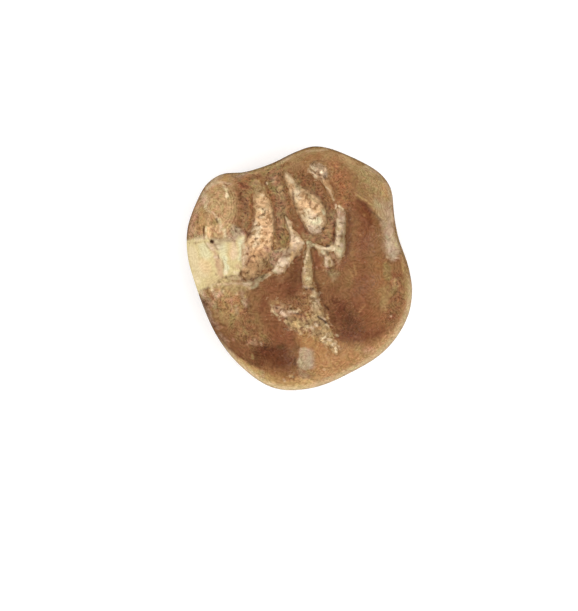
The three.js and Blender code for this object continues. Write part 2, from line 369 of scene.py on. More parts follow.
# Strokes are (tone, strength, edge, path), each laid over those before it
ENAMEL = [
    # cheek side: honey rim, orange saddle behind the front cusp, olive front cusp
    ("honey", 0.8, BROAD, [
        (-735, 1106, 62), (-461, 1218, 62), (13, 1354, 87), (387, 1415, 100), (661, 1328, 100),
    ]),
    ("sand", 0.6, SOFT, [(512, 1415, 33), (586, 1378, 37), (648, 1315, 37)]),
    ("sand", 0.9, SOFT, [(361, 1241, 37), (379, 1179, 37)]),
    ("olive tan", 0.55, BROAD, [(759, 1004, 62), (809, 929, 50)]),
    ("brown", 0.6, SOFT, [(63, 1341, 37), (138, 1391, 37), (238, 1416, 44)]),
    ("chestnut", 0.95, SOFT, [(-224, 1292, 37), (-161, 1317, 37)]),
    ("brown", 0.9, SOFT, [(-536, 1118, 30), (-486, 1093, 30)]),
    ("mauve tan", 0.4, SOFT, [(-822, 1156, 30), (-685, 1144, 30)]),
    ("honey", 0.5, SOFT, [(-50, 1130, 30), (-25, 1093, 30)]),
    ("brown", 0.75, SOFT, [(478, 855, 31), (484, 818, 25)]),
    ("brown", 0.9, SOFT, [(497, 818, 30), (547, 793, 25)]),
    ("brown", 0.7, SOFT, [(99, 1018, 28), (136, 955, 30)]),
    ("grey tan", 0.5, SOFT, [(810, 1265, 37), (885, 1203, 37)]),
    ("orange brown", 0.85, BROAD, [(436, 1291, 100), (510, 1079, 113), (559, 855, 87)]),
    ("olive tan", 0.5, BROAD, [(735, 1228, 100), (909, 1078, 113), (1033, 904, 87)]),
    ("khaki", 0.5, BROAD, [(785, 1228, 75), (934, 1078, 100), (1033, 904, 87)]),
    ("tawny", 0.6, SOFT, [(1046, 1066, 37), (1058, 916, 37)]),
    ("grey tan", 0.7, BROAD, [(1008, 817, 50), (1094, 680, 62), (1119, 531, 62)]),
    ("grey tan", 0.6, SOFT, [(1120, 829, 31), (1144, 730, 31)]),
    ("pink cream", 0.35, SOFT, [(1119, 717, 30), (1156, 618, 30)]),
    ("grey green", 0.6, SOFT, [(945, 854, 25), (982, 767, 31)]),
    ("chestnut", 0.5, SOFT, [(971, 929, 37), (995, 854, 37)]),
    ("grey tan", 0.5, SOFT, [(1019, 668, 37), (1044, 568, 37)]),
    ("sand", 0.6, SOFT, [(1108, 1028, 25), (1132, 904, 25)]),
    # painted light: a pale line along the crown's edge beside the front cusp
    ("grey tan", 0.55, SOFT, [(835, 1290, 19), (984, 1178, 20), (1108, 1016, 19), (1151, 854, 19)]),
    ("khaki", 0.45, BROAD, [(908, 842, 37), (1020, 705, 44)]),
    ("khaki", 0.5, SOFT, [
        (-1184, 1107, 25), (-922, 1200, 25), (-610, 1206, 25), (-236, 1329, 25), (13, 1453, 25),
        (363, 1521, 25),
    ]),
    ("sand", 0.5, SOFT, [(1205, 456, 25), (1267, 232, 25), (1316, 57, 25)]),
    # three cross ridges
    ("brown", 0.7, SOFT, [(-661, 1081, 75), (-674, 795, 75), (-613, 546, 50)]),
    ("mauve", 0.85, SOFT, [(-337, 1155, 62), (-250, 919, 62), (-226, 670, 75), (-264, 458, 50)]),
    ("olive", 0.85, SOFT, [(-190, 508, 50), (-190, 321, 56)]),
    ("olive tan", 0.75, SOFT, [(-362, 1031, 37), (-275, 969, 50)]),
    ("olive tan", 0.85, SOFT, [(-561, 1069, 62), (-586, 982, 50)]),
    ("khaki", 0.8, SOFT, [(-549, 1056, 50), (-499, 994, 56)]),
    ("tawny", 0.8, SOFT, [(373, 955, 25), (410, 880, 25)]),
    ("mauve", 0.6, SOFT, [(-673, 1019, 50), (-662, 733, 50), (-675, 534, 50)]),
    ("ochre", 0.8, SOFT, [(-302, 471, 25), (-296, 284, 33)]),
    ("khaki", 0.5, SOFT, [(-262, 1006, 37), (-250, 944, 37)]),
    ("khaki", 0.8, SOFT, [(-528, -126, 30), (-454, -89, 30)]),
    ("honey", 0.6, SOFT, [(-375, 944, 31), (-363, 869, 25)]),
    ("orange brown", 0.7, SOFT, [(-338, 894, 28), (-325, 819, 28)]),
    ("orange tan", 0.85, SOFT, [(-392, 956, 33), (-392, 857, 28)]),
    ("rust", 0.6, SOFT, [(-2, 682, 37), (35, 545, 37), (10, 458, 50)]),
    ("mauve", 0.85, SOFT, [
        (111, 955, 75), (235, 818, 37), (359, 669, 37), (383, 407, 37), (233, 370, 50), (59, 408, 50),
    ]),
    ("rust", 0.6, CRISP, [(427, 519, 15), (427, 358, 20)]),
    ("mauve tan", 0.45, SOFT, [(422, 706, 25), (427, 582, 25)]),
    ("honey", 0.7, SOFT, [(334, 582, 28), (321, 482, 33)]),
    # inside the front crest: red-brown enamel, with painted shade on the crest's inner side and a dark line
    # of painted shade down the front valley's right wall
    ("rust", 0.8, BROAD, [(659, 780, 37), (783, 705, 75), (832, 506, 87), (781, 307, 75), (718, 133, 50)]),
    ("maroon", 0.85, SOFT, [(721, 855, 20), (796, 780, 28), (858, 705, 30), (870, 581, 25)]),
    ("umber", 0.7, SOFT, [(604, 706, 13), (623, 581, 19), (609, 295, 21), (589, 158, 15)]),
    # front tongue-side cusp: brown middle, warm patches, dark foot
    ("orange brown", 0.45, BROAD, [(706, 233, 50), (743, 83, 50)]),
    ("maroon", 0.35, SOFT, [(569, 158, 37), (531, 21, 37)]),
    ("maroon", 0.35, SOFT, [(680, -78, 37), (705, -153, 37)]),
    ("maroon", 0.35, SOFT, [(793, 145, 37), (818, 58, 37)]),
    ("maroon", 0.3, BROAD, [(605, -228, 50), (642, -327, 50)]),
    ("brown", 0.6, BROAD, [(980, 83, 75), (1054, -116, 100), (1003, -266, 75)]),
    ("olive tan", 0.7, SOFT, [(1079, 58, 37), (1091, -92, 37)]),
    ("olive tan", 0.6, BROAD, [(1078, -291, 62), (1203, -266, 50)]),
    ("olive tan", 0.7, SOFT, [(1053, -378, 44), (1040, -490, 44)]),
    ("rust", 0.4, SOFT, [(1253, -92, 37), (1227, -341, 37)]),
    ("khaki", 0.4, SOFT, [(1191, -129, 25), (1203, -204, 25)]),
    ("olive tan", 0.45, SOFT, [(1266, -104, 25), (1278, -167, 25)]),
    ("maroon", 0.65, BROAD, [(528, -800, 37), (702, -850, 75), (1001, -801, 87), (1176, -602, 75)]),
    ("umber", 0.75, WIDE, [(479, -501, 37), (554, -563, 163), (653, -713, 150), (553, -763, 100)]),
    ("umber", 0.35, SOFT, [(231, -190, 25), (305, -439, 37), (404, -663, 50)]),
    ("maroon", 0.55, BROAD, [(380, -289, 62), (479, -464, 75)]),
    ("brown", 0.5, BROAD, [(828, -539, 62), (1002, -614, 100)]),
    ("rust", 0.6, BROAD, [(681, 83, 87), (780, -141, 113), (754, -390, 113), (902, -664, 100)]),
    # centre between the valleys
    ("umber", 0.7, BROAD, [(-42, 85, 50), (-67, -90, 87), (-118, -264, 100)]),
    ("rust", 0.8, SOFT, [(208, 196, 37), (220, 34, 50)]),
    ("golden", 0.6, SOFT, [(366, -775, 30), (391, -825, 30)]),
    ("khaki", 0.35, SOFT, [(267, -501, 30), (292, -538, 30)]),
    ("mauve tan", 0.75, SOFT, [(-328, 185, 50), (-203, 185, 75), (-128, 234, 50)]),
    ("mauve tan", 0.75, SOFT, [(-353, 110, 37), (-316, 60, 37)]),
    ("honey", 0.6, SOFT, [(59, 259, 22), (83, 221, 22)]),
    ("rust", 0.55, BROAD, [(-305, -238, 113), (-368, -636, 125), (-195, -861, 125)]),
    ("rust", 0.6, BROAD, [(-518, -736, 75), (-344, -811, 100), (-170, -836, 87)]),
    ("maroon", 0.35, BROAD, [(-417, -213, 62), (-267, -164, 75), (-143, -226, 75)]),
    ("maroon", 0.5, SOFT, [(-430, -350, 37), (-480, -487, 37), (-468, -686, 56)]),
    ("maroon", 0.35, SOFT, [(-506, -848, 37), (-482, -898, 37)]),
    ("honey", 0.5, SOFT, [(-355, -413, 37), (-293, -400, 25)]),
    ("brown", 0.5, SOFT, [(-231, -450, 31), (-181, -463, 31)]),
    ("mauve", 0.4, SOFT, [(-279, -102, 37), (-229, -139, 37)]),
    # back tongue-side cusp: tan shoulder, red brown slope, darkest foot
    ("ochre", 0.85, BROAD, [(-1090, -287, 75), (-940, -362, 175), (-841, -486, 150), (-792, -561, 62)]),
    ("sand", 0.4, SOFT, [(-965, -337, 50), (-866, -374, 50)]),
    ("olive tan", 0.7, BROAD, [(-1016, -536, 75), (-867, -611, 100)]),
    ("khaki", 0.75, BROAD, [(-965, -187, 62), (-840, -213, 75), (-691, -213, 50)]),
    ("yellow", 0.65, SOFT, [(-1114, -237, 37), (-989, -163, 42), (-877, -113, 37), (-765, -96, 33)]),
    ("sand", 0.7, SOFT, [(-1214, -287, 37), (-1177, -336, 25)]),
    ("cream", 0.7, SOFT, [(-1251, -262, 30), (-1202, -336, 28)]),
    ("mauve tan", 0.5, SOFT, [(-728, -287, 33), (-691, -362, 37), (-667, -449, 33)]),
    ("pink cream", 0.5, CRISP, [(-1077, -187, 10), (-865, -175, 10), (-641, -176, 10)]),
    ("chestnut", 0.7, SOFT, [(-1190, -349, 31), (-1128, -548, 37), (-1017, -772, 44), (-856, -959, 50)]),
    ("mauve", 0.5, SOFT, [(-1040, -287, 33), (-1053, -424, 37), (-1028, -561, 37)]),
    ("lilac", 0.6, SOFT, [(-1227, -386, 25), (-1165, -523, 37), (-1104, -660, 25)]),
    ("chestnut", 0.85, SOFT, [(-1066, -710, 50), (-892, -810, 75), (-743, -959, 100)]),
    ("lilac", 0.4, SOFT, [(-992, -822, 31), (-930, -897, 31)]),
    ("lilac", 0.35, SOFT, [(-1140, -374, 30), (-1103, -436, 30)]),
    ("lilac", 0.35, SOFT, [(-1091, -648, 30), (-1041, -710, 30)]),
    ("maroon", 0.4, BROAD, [(-955, -835, 50), (-744, -997, 75), (-619, -1084, 50)]),
    ("olive tan", 0.4, SOFT, [(-743, -810, 37), (-656, -798, 37)]),
    ("umber", 0.85, BROAD, [(-495, -1022, 100), (-246, -1085, 150), (-146, -1135, 87)]),
    ("umber", 0.6, SOFT, [(-570, -1084, 50), (-470, -1184, 37)]),
    ("umber", 0.5, SOFT, [(-58, -873, 50), (-33, -961, 44)]),
    ("deep umber", 0.3, BROAD, [(-345, -960, 37), (-220, -973, 50)]),
    ("olive", 0.5, BROAD, [(-469, -835, 62), (-518, -636, 62)]),
    # worn facet on the back cheek cusp, and the margin behind it
    ("sand", 0.85, BROAD, [
        (-1160, 858, 75), (-1060, 958, 113), (-986, 758, 188), (-1012, 534, 175), (-1137, 410, 100),
    ]),
    ("golden", 0.7, SOFT, [(-1060, 1032, 50), (-910, 1132, 37)]),
    ("sand", 0.5, SOFT, [(-860, 1144, 37), (-860, 1007, 50), (-823, 882, 37)]),
    ("rose tan", 0.4, SOFT, [(-1072, 1032, 37), (-985, 1069, 37)]),
    ("grey tan", 0.55, SOFT, [(-1247, 908, 62), (-1310, 734, 75), (-1335, 585, 87), (-1324, 411, 75)]),
    ("golden", 0.4, SOFT, [(-1285, 809, 62), (-1335, 585, 75), (-1324, 411, 75)]),
    ("golden", 0.65, SOFT, [(-1223, 734, 37), (-1224, 510, 50)]),
    ("rose tan", 0.5, SOFT, [(-1284, 858, 37), (-1347, 672, 37), (-1361, 485, 37)]),
    ("ochre", 0.5, SOFT, [(-1286, 585, 37), (-1236, 460, 37)]),
    ("peach", 0.5, CRISP, [(-1136, 522, 37), (-1124, 447, 37)]),
    ("brown", 0.3, SOFT, [(-923, 796, 37), (-924, 696, 37)]),
    ("ochre", 0.6, SOFT, [(-1073, 721, 37), (-1061, 622, 50)]),
    ("brown", 0.3, SOFT, [(-1072, 945, 37), (-1023, 883, 37)]),
    ("pink cream", 0.3, SOFT, [(-888, 410, 37), (-825, 385, 37)]),
    ("pink cream", 0.5, SOFT, [(-1197, 920, 37), (-1172, 846, 37)]),
    ("grey tan", 0.85, SOFT, [(-825, 509, 37), (-763, 434, 75)]),
    # small patches on the front margin and on the ridges
    # the next four: lilac, grey-green and pale mottles of the painted highlight on the front margin
    ("lilac", 0.45, SOFT, [(1119, 580, 25), (1143, 481, 25)]),
    ("grey green", 0.5, SOFT, [(1143, 431, 19), (1205, 331, 19)]),
    ("pink cream", 0.5, SOFT, [(1093, 319, 22), (1117, 219, 22)]),
    ("lilac", 0.5, SOFT, [(1180, 282, 19), (1192, 145, 25)]),
    ("tawny", 0.5, SOFT, [(-101, 943, 20), (-76, 819, 20), (-14, 707, 17)]),
    ("pink cream", 0.9, SOFT, [(415, 320, 20), (428, 295, 20)]),
    ("pink cream", 0.5, SOFT, [(458, 569, 15), (463, 494, 15)]),
    ("olive", 0.65, SOFT, [(1092, 20, 50), (1091, -92, 37)]),
    ("dark olive", 0.25, SOFT, [(1104, 20, 37), (1104, -54, 37)]),
    # foot of the crown: a pale warm band along the tongue side and the front
    ("ochre", 0.8, BROAD, [(131, -401, 37), (155, -538, 62)]),
    ("golden", 0.5, SOFT, [(179, -849, 37), (241, -874, 37)]),
    ("orange tan", 0.9, BROAD, [(29, -861, 62), (228, -1036, 175), (277, -1235, 150)]),
    ("ochre", 0.9, BROAD, [(377, -1235, 150), (626, -1086, 125), (901, -1037, 87), (1163, -813, 37)]),
    ("orange tan", 0.5, SOFT, [(428, -899, 37), (540, -937, 37)]),
    ("brown", 0.5, SOFT, [(-8, -898, 30), (29, -923, 30)]),
    ("maroon", 0.4, SOFT, [(-196, -1259, 30), (-122, -1284, 30)]),
    ("pink cream", 0.7, SOFT, [(-980, -971, 28), (-844, -1108, 30), (-769, -1171, 20)]),
    ("pink cream", 0.55, SOFT, [(-1147, 1020, 25), (-1084, 1101, 25), (-984, 1169, 25)]),
    ("pink cream", 0.4, SOFT, [(-236, 1354, 20), (-124, 1429, 22)]),
    ("golden", 0.9, SOFT, [
        (-744, -1158, 37), (-620, -1246, 50), (-446, -1358, 75), (-185, -1433, 87), (127, -1434, 75),
    ]),
    ("brown", 0.75, BROAD, [(-421, -1283, 37), (-222, -1358, 50), (-72, -1371, 37)]),
    ("brown", 0.5, SOFT, [(-197, -1359, 30), (-147, -1377, 30)]),
    ("mauve tan", 0.45, SOFT, [(-10, -1247, 25), (28, -1322, 37), (90, -1334, 37)]),
    ("sand", 0.6, BROAD, [
        (202, -1409, 37), (401, -1360, 37), (701, -1211, 50), (975, -1037, 50), (1201, -764, 37),
        (1326, -465, 25), (1365, -192, 25),
    ]),
    ("olive tan", 0.6, SOFT, [(702, -987, 37), (826, -1062, 50)]),
    ("rose tan", 0.5, SOFT, [(826, -1012, 37), (926, -1012, 37)]),
    ("orange tan", 0.5, BROAD, [(502, -1161, 100), (651, -1111, 75)]),
    ("olive tan", 0.6, SOFT, [(1352, -341, 37), (1328, -17, 37)]),
    ("olive tan", 0.8, SOFT, [(1347, -192, 22), (1344, -353, 22)]),
    ("brown", 0.4, SOFT, [(1302, -428, 30), (1264, -540, 30), (1214, -652, 30)]),
    ("ochre", 0.45, SOFT, [(1089, -726, 30), (1139, -689, 30)]),
    # painted highlights: two smooth, greyish reflections on the glossy crown, laid into its colour
    ("grey tan", 0.75, CRISP, [(54, -1042, 75), (66, -1160, 100)]),
    ("grey green", 0.35, SOFT, [(16, -1160, 50), (28, -1222, 25)]),
    ("lilac", 0.5, SOFT, [(128, -1036, 50), (140, -1185, 50)]),
    ("grey tan", 0.65, BROAD, [(1081, 531, 25), (1106, 381, 56), (1130, 232, 56)]),
    ("grey tan", 0.7, SOFT, [(1193, 356, 37), (1217, 219, 50), (1154, 145, 37)]),
    ("lilac", 0.5, SOFT, [(1081, 456, 19), (1130, 282, 37), (1155, 194, 31)]),
    ("pink cream", 0.35, SOFT, [(1143, 493, 19), (1168, 356, 22), (1105, 269, 19)]),
]

# The silt packed in the valleys, over a plain coat of sand
SILT = [
    ("sand", 1.0, WIDE, [(-1232, 1481, 2500), (1496, -1635, 2500)]),
    # back valley: peach above, brown below
    ("peach", 0.6, SOFT, [(-524, 1006, 50), (-487, 857, 75)]),
    ("peach", 0.9, SOFT, [(-451, 633, 100), (-464, 459, 125), (-489, 309, 138)]),
    ("rose tan", 0.6, SOFT, [(-651, 260, 25), (-639, 136, 50)]),
    ("tawny", 0.5, SOFT, [(-550, 708, 33), (-500, 658, 33)]),
    ("tawny", 0.35, SOFT, [(-426, 596, 37), (-426, 533, 37)]),
    ("khaki", 0.8, SOFT, [(-528, -101, 33), (-454, -89, 33)]),
    ("cream", 0.75, SOFT, [(-551, 558, 44), (-539, 434, 56)]),
    ("cream", 0.75, SOFT, [(-676, 248, 25), (-702, 136, 37), (-715, 61, 37)]),
    ("tawny", 0.7, SOFT, [(-515, 135, 125), (-590, -14, 125)]),
    ("pink cream", 0.5, SOFT, [(-689, 123, 37), (-702, 61, 37)]),
    ("olive tan", 0.75, SOFT, [(-440, 60, 62), (-516, -39, 62)]),
    ("honey", 0.75, SOFT, [(-615, 11, 62), (-566, -89, 62)]),
    ("sand", 0.55, SOFT, [(-515, 61, 44), (-466, 11, 37)]),
    ("brown", 0.4, SOFT, [(-578, 48, 62), (-491, -2, 62)]),
    ("khaki", 0.6, SOFT, [(-537, 982, 50), (-512, 919, 50)]),
    ("orange tan", 0.45, SOFT, [(-515, 235, 50), (-565, 185, 50)]),
    ("honey", 0.5, SOFT, [(-402, 235, 31), (-403, 135, 37)]),
    # middle valley: orange above, pale below
    ("olive tan", 0.6, SOFT, [(-50, 1093, 37), (-26, 1030, 25)]),
    ("brown", 0.6, SOFT, [(111, 1005, 25), (136, 943, 25)]),
    ("cream", 0.75, SOFT, [(-63, 956, 30), (-26, 856, 30)]),
    ("tawny", 0.7, SOFT, [(24, 869, 28), (36, 819, 28)]),
    ("peach", 0.6, SOFT, [(11, 881, 62), (98, 781, 100), (198, 781, 62)]),
    ("sand", 0.5, SOFT, [(235, 781, 37), (285, 681, 37)]),
    ("peach", 0.5, SOFT, [(185, 818, 37), (223, 769, 37)]),
    ("cream", 0.8, SOFT, [(98, 682, 75), (172, 582, 113)]),
    ("bright cream", 0.5, SOFT, [(135, 644, 37), (185, 594, 44)]),
    ("green cream", 0.85, SOFT, [(172, 582, 31), (222, 594, 44)]),
    ("pink cream", 0.8, SOFT, [(134, 495, 50), (234, 470, 50)]),
    ("olive", 0.7, SOFT, [(296, 470, 37), (283, 370, 37)]),
    # arms that meet at the centre
    ("cream", 0.7, SOFT, [(-177, 645, 19), (-127, 533, 31)]),
    ("pink cream", 0.65, SOFT, [(-90, 408, 50), (-41, 346, 50)]),
    ("mauve tan", 0.7, SOFT, [(9, 321, 31), (21, 284, 31)]),
    ("mauve tan", 0.9, SOFT, [(-103, 234, 50), (-191, 160, 62)]),
    ("honey", 0.6, SOFT, [(-66, 197, 33), (-29, 147, 33)]),
    ("pink cream", 0.9, SOFT, [(-204, 85, 62), (-279, 10, 62)]),
    ("grey green", 0.7, SOFT, [(-404, -76, 25), (-553, -163, 37), (-678, -176, 37)]),
    # front pit, slit, valley and hook
    ("mauve tan", 0.8, SOFT, [(200, 1266, 75), (274, 1204, 87)]),
    ("brown", 0.6, SOFT, [(199, 1192, 50), (224, 1154, 50)]),
    ("cream", 0.7, SOFT, [(162, 1254, 25), (175, 1229, 25)]),
    ("tawny", 0.8, SOFT, [(336, 1079, 50), (398, 905, 37)]),
    ("pink cream", 0.9, SOFT, [(503, 693, 42), (496, 581, 56), (483, 382, 56), (495, 233, 50)]),
    ("olive", 0.35, SOFT, [(559, 681, 19), (558, 532, 17)]),
    ("olive", 0.95, SOFT, [(520, 412, 37), (520, 357, 42)]),
    ("cream", 0.8, SOFT, [(477, 581, 19), (476, 382, 25), (470, 233, 44)]),
    ("grey green", 0.6, SOFT, [(571, 656, 13), (564, 482, 19), (557, 258, 25)]),
    ("pink cream", 0.6, SOFT, [(521, 706, 37), (533, 594, 37)]),
    ("green cream", 0.85, SOFT, [(445, 270, 31), (494, 221, 44), (519, 158, 25)]),
    ("cream", 0.9, CRISP, [(432, 258, 25), (233, 271, 19)]),
    ("pink cream", 0.8, SOFT, [(332, 121, 25), (338, 59, 22)]),
    ("olive", 0.6, SOFT, [(369, 96, 25), (375, 47, 25)]),
    ("brown", 0.6, SOFT, [(270, 209, 25), (295, 184, 25)]),
    ("grey green", 0.6, SOFT, [(295, 221, 25), (332, 208, 25)]),
    # centre valley
    ("green cream", 0.8, SOFT, [(109, 321, 50), (159, 321, 37)]),
    ("grey green", 0.5, SOFT, [(71, 259, 25), (96, 234, 25)]),
    ("brown", 0.4, SOFT, [(196, 426, 30), (246, 433, 30)]),
    ("olive", 0.45, SOFT, [(59, 277, 25), (146, 271, 25)]),
    ("cream", 0.6, SOFT, [(96, 209, 19), (96, 147, 19)]),
    ("khaki", 0.85, SOFT, [(108, 209, 37), (107, 10, 62), (107, -164, 62)]),
    ("khaki", 0.6, SOFT, [(181, -289, 50), (205, -438, 62)]),
    ("brown", 0.85, SOFT, [(69, -239, 37), (119, -289, 40)]),
    ("grey tan", 0.4, SOFT, [(193, -389, 37), (205, -488, 37)]),
    ("olive tan", 0.7, BROAD, [(230, -563, 75), (254, -737, 100), (353, -837, 62)]),
    ("golden", 0.5, SOFT, [(204, -837, 37), (254, -862, 37)]),
    ("brown", 0.65, SOFT, [(179, -687, 33), (229, -725, 33)]),
    ("golden", 0.8, SOFT, [(366, -775, 37), (378, -824, 37)]),
    ("sand", 0.9, SOFT, [(118, -525, 37), (155, -563, 37)]),
    ("golden", 0.35, SOFT, [(378, -887, 50), (440, -1011, 37)]),
    ("olive tan", 0.45, SOFT, [(378, -899, 33), (415, -961, 25)]),
    # side basin
    ("rose tan", 0.6, SOFT, [(-293, -500, 37), (-231, -525, 37)]),
    ("brown", 0.6, SOFT, [(-243, -438, 33), (-168, -463, 35)]),
    ("brown", 0.6, SOFT, [(-132, -724, 37), (-57, -749, 37)]),
    ("brown", 0.85, SOFT, [(-194, -550, 56), (-94, -587, 56), (30, -600, 62)]),
    ("mauve tan", 0.5, SOFT, [(-218, -512, 37), (-144, -562, 50)]),
    ("olive tan", 0.8, SOFT, [(-119, -662, 62), (-7, -687, 75), (105, -662, 62)]),
    ("golden", 0.8, SOFT, [(-45, -687, 50), (5, -762, 37)]),
]

# The pale dentine of the chipped face
DENTINE_TONES = [
    ("yellow", 1.0, WIDE, [(-1232, 1481, 2500), (1496, -1635, 2500)]),
    ("cream", 0.45, SOFT, [(-1337, 236, 50), (-1312, 87, 62), (-1201, -38, 75)]),
    ("green cream", 0.6, SOFT, [(-1199, 286, 50), (-1175, 186, 62)]),
    ("bright cream", 0.5, SOFT, [(-1313, -62, 25), (-1276, -150, 30)]),
    ("peach", 0.35, SOFT, [(-1200, 87, 62), (-1163, 37, 62)]),
    ("golden", 0.35, SOFT, [(-1163, -13, 37), (-1114, -50, 37)]),
    ("lilac", 0.55, SOFT, [(-1050, 310, 37), (-1000, 285, 50)]),
    ("rose tan", 0.6, SOFT, [
        (-1100, 311, 19), (-1063, 211, 25), (-1013, 86, 37), (-989, -38, 37), (-964, -113, 25),
    ]),
    ("green cream", 0.9, CRISP, [(-938, 149, 25), (-914, 36, 31), (-920, -38, 25)]),
    ("golden", 0.35, SOFT, [(-901, 236, 25), (-839, 203, 33)]),
    ("peach", 0.5, SOFT, [(-838, 310, 31), (-839, 161, 31)]),
    ("green cream", 0.9, SOFT, [(-720, 335, 37), (-727, 136, 37)]),
    ("green cream", 0.6, SOFT, [(-950, 285, 37), (-951, 161, 50)]),
    ("pink cream", 0.55, SOFT, [(-826, 323, 31), (-814, 161, 37)]),
    ("rose tan", 0.5, SOFT, [(-777, 49, 25), (-752, 24, 20)]),
    ("sand", 0.4, SOFT, [(-1127, -175, 50), (-1002, -125, 37)]),
]

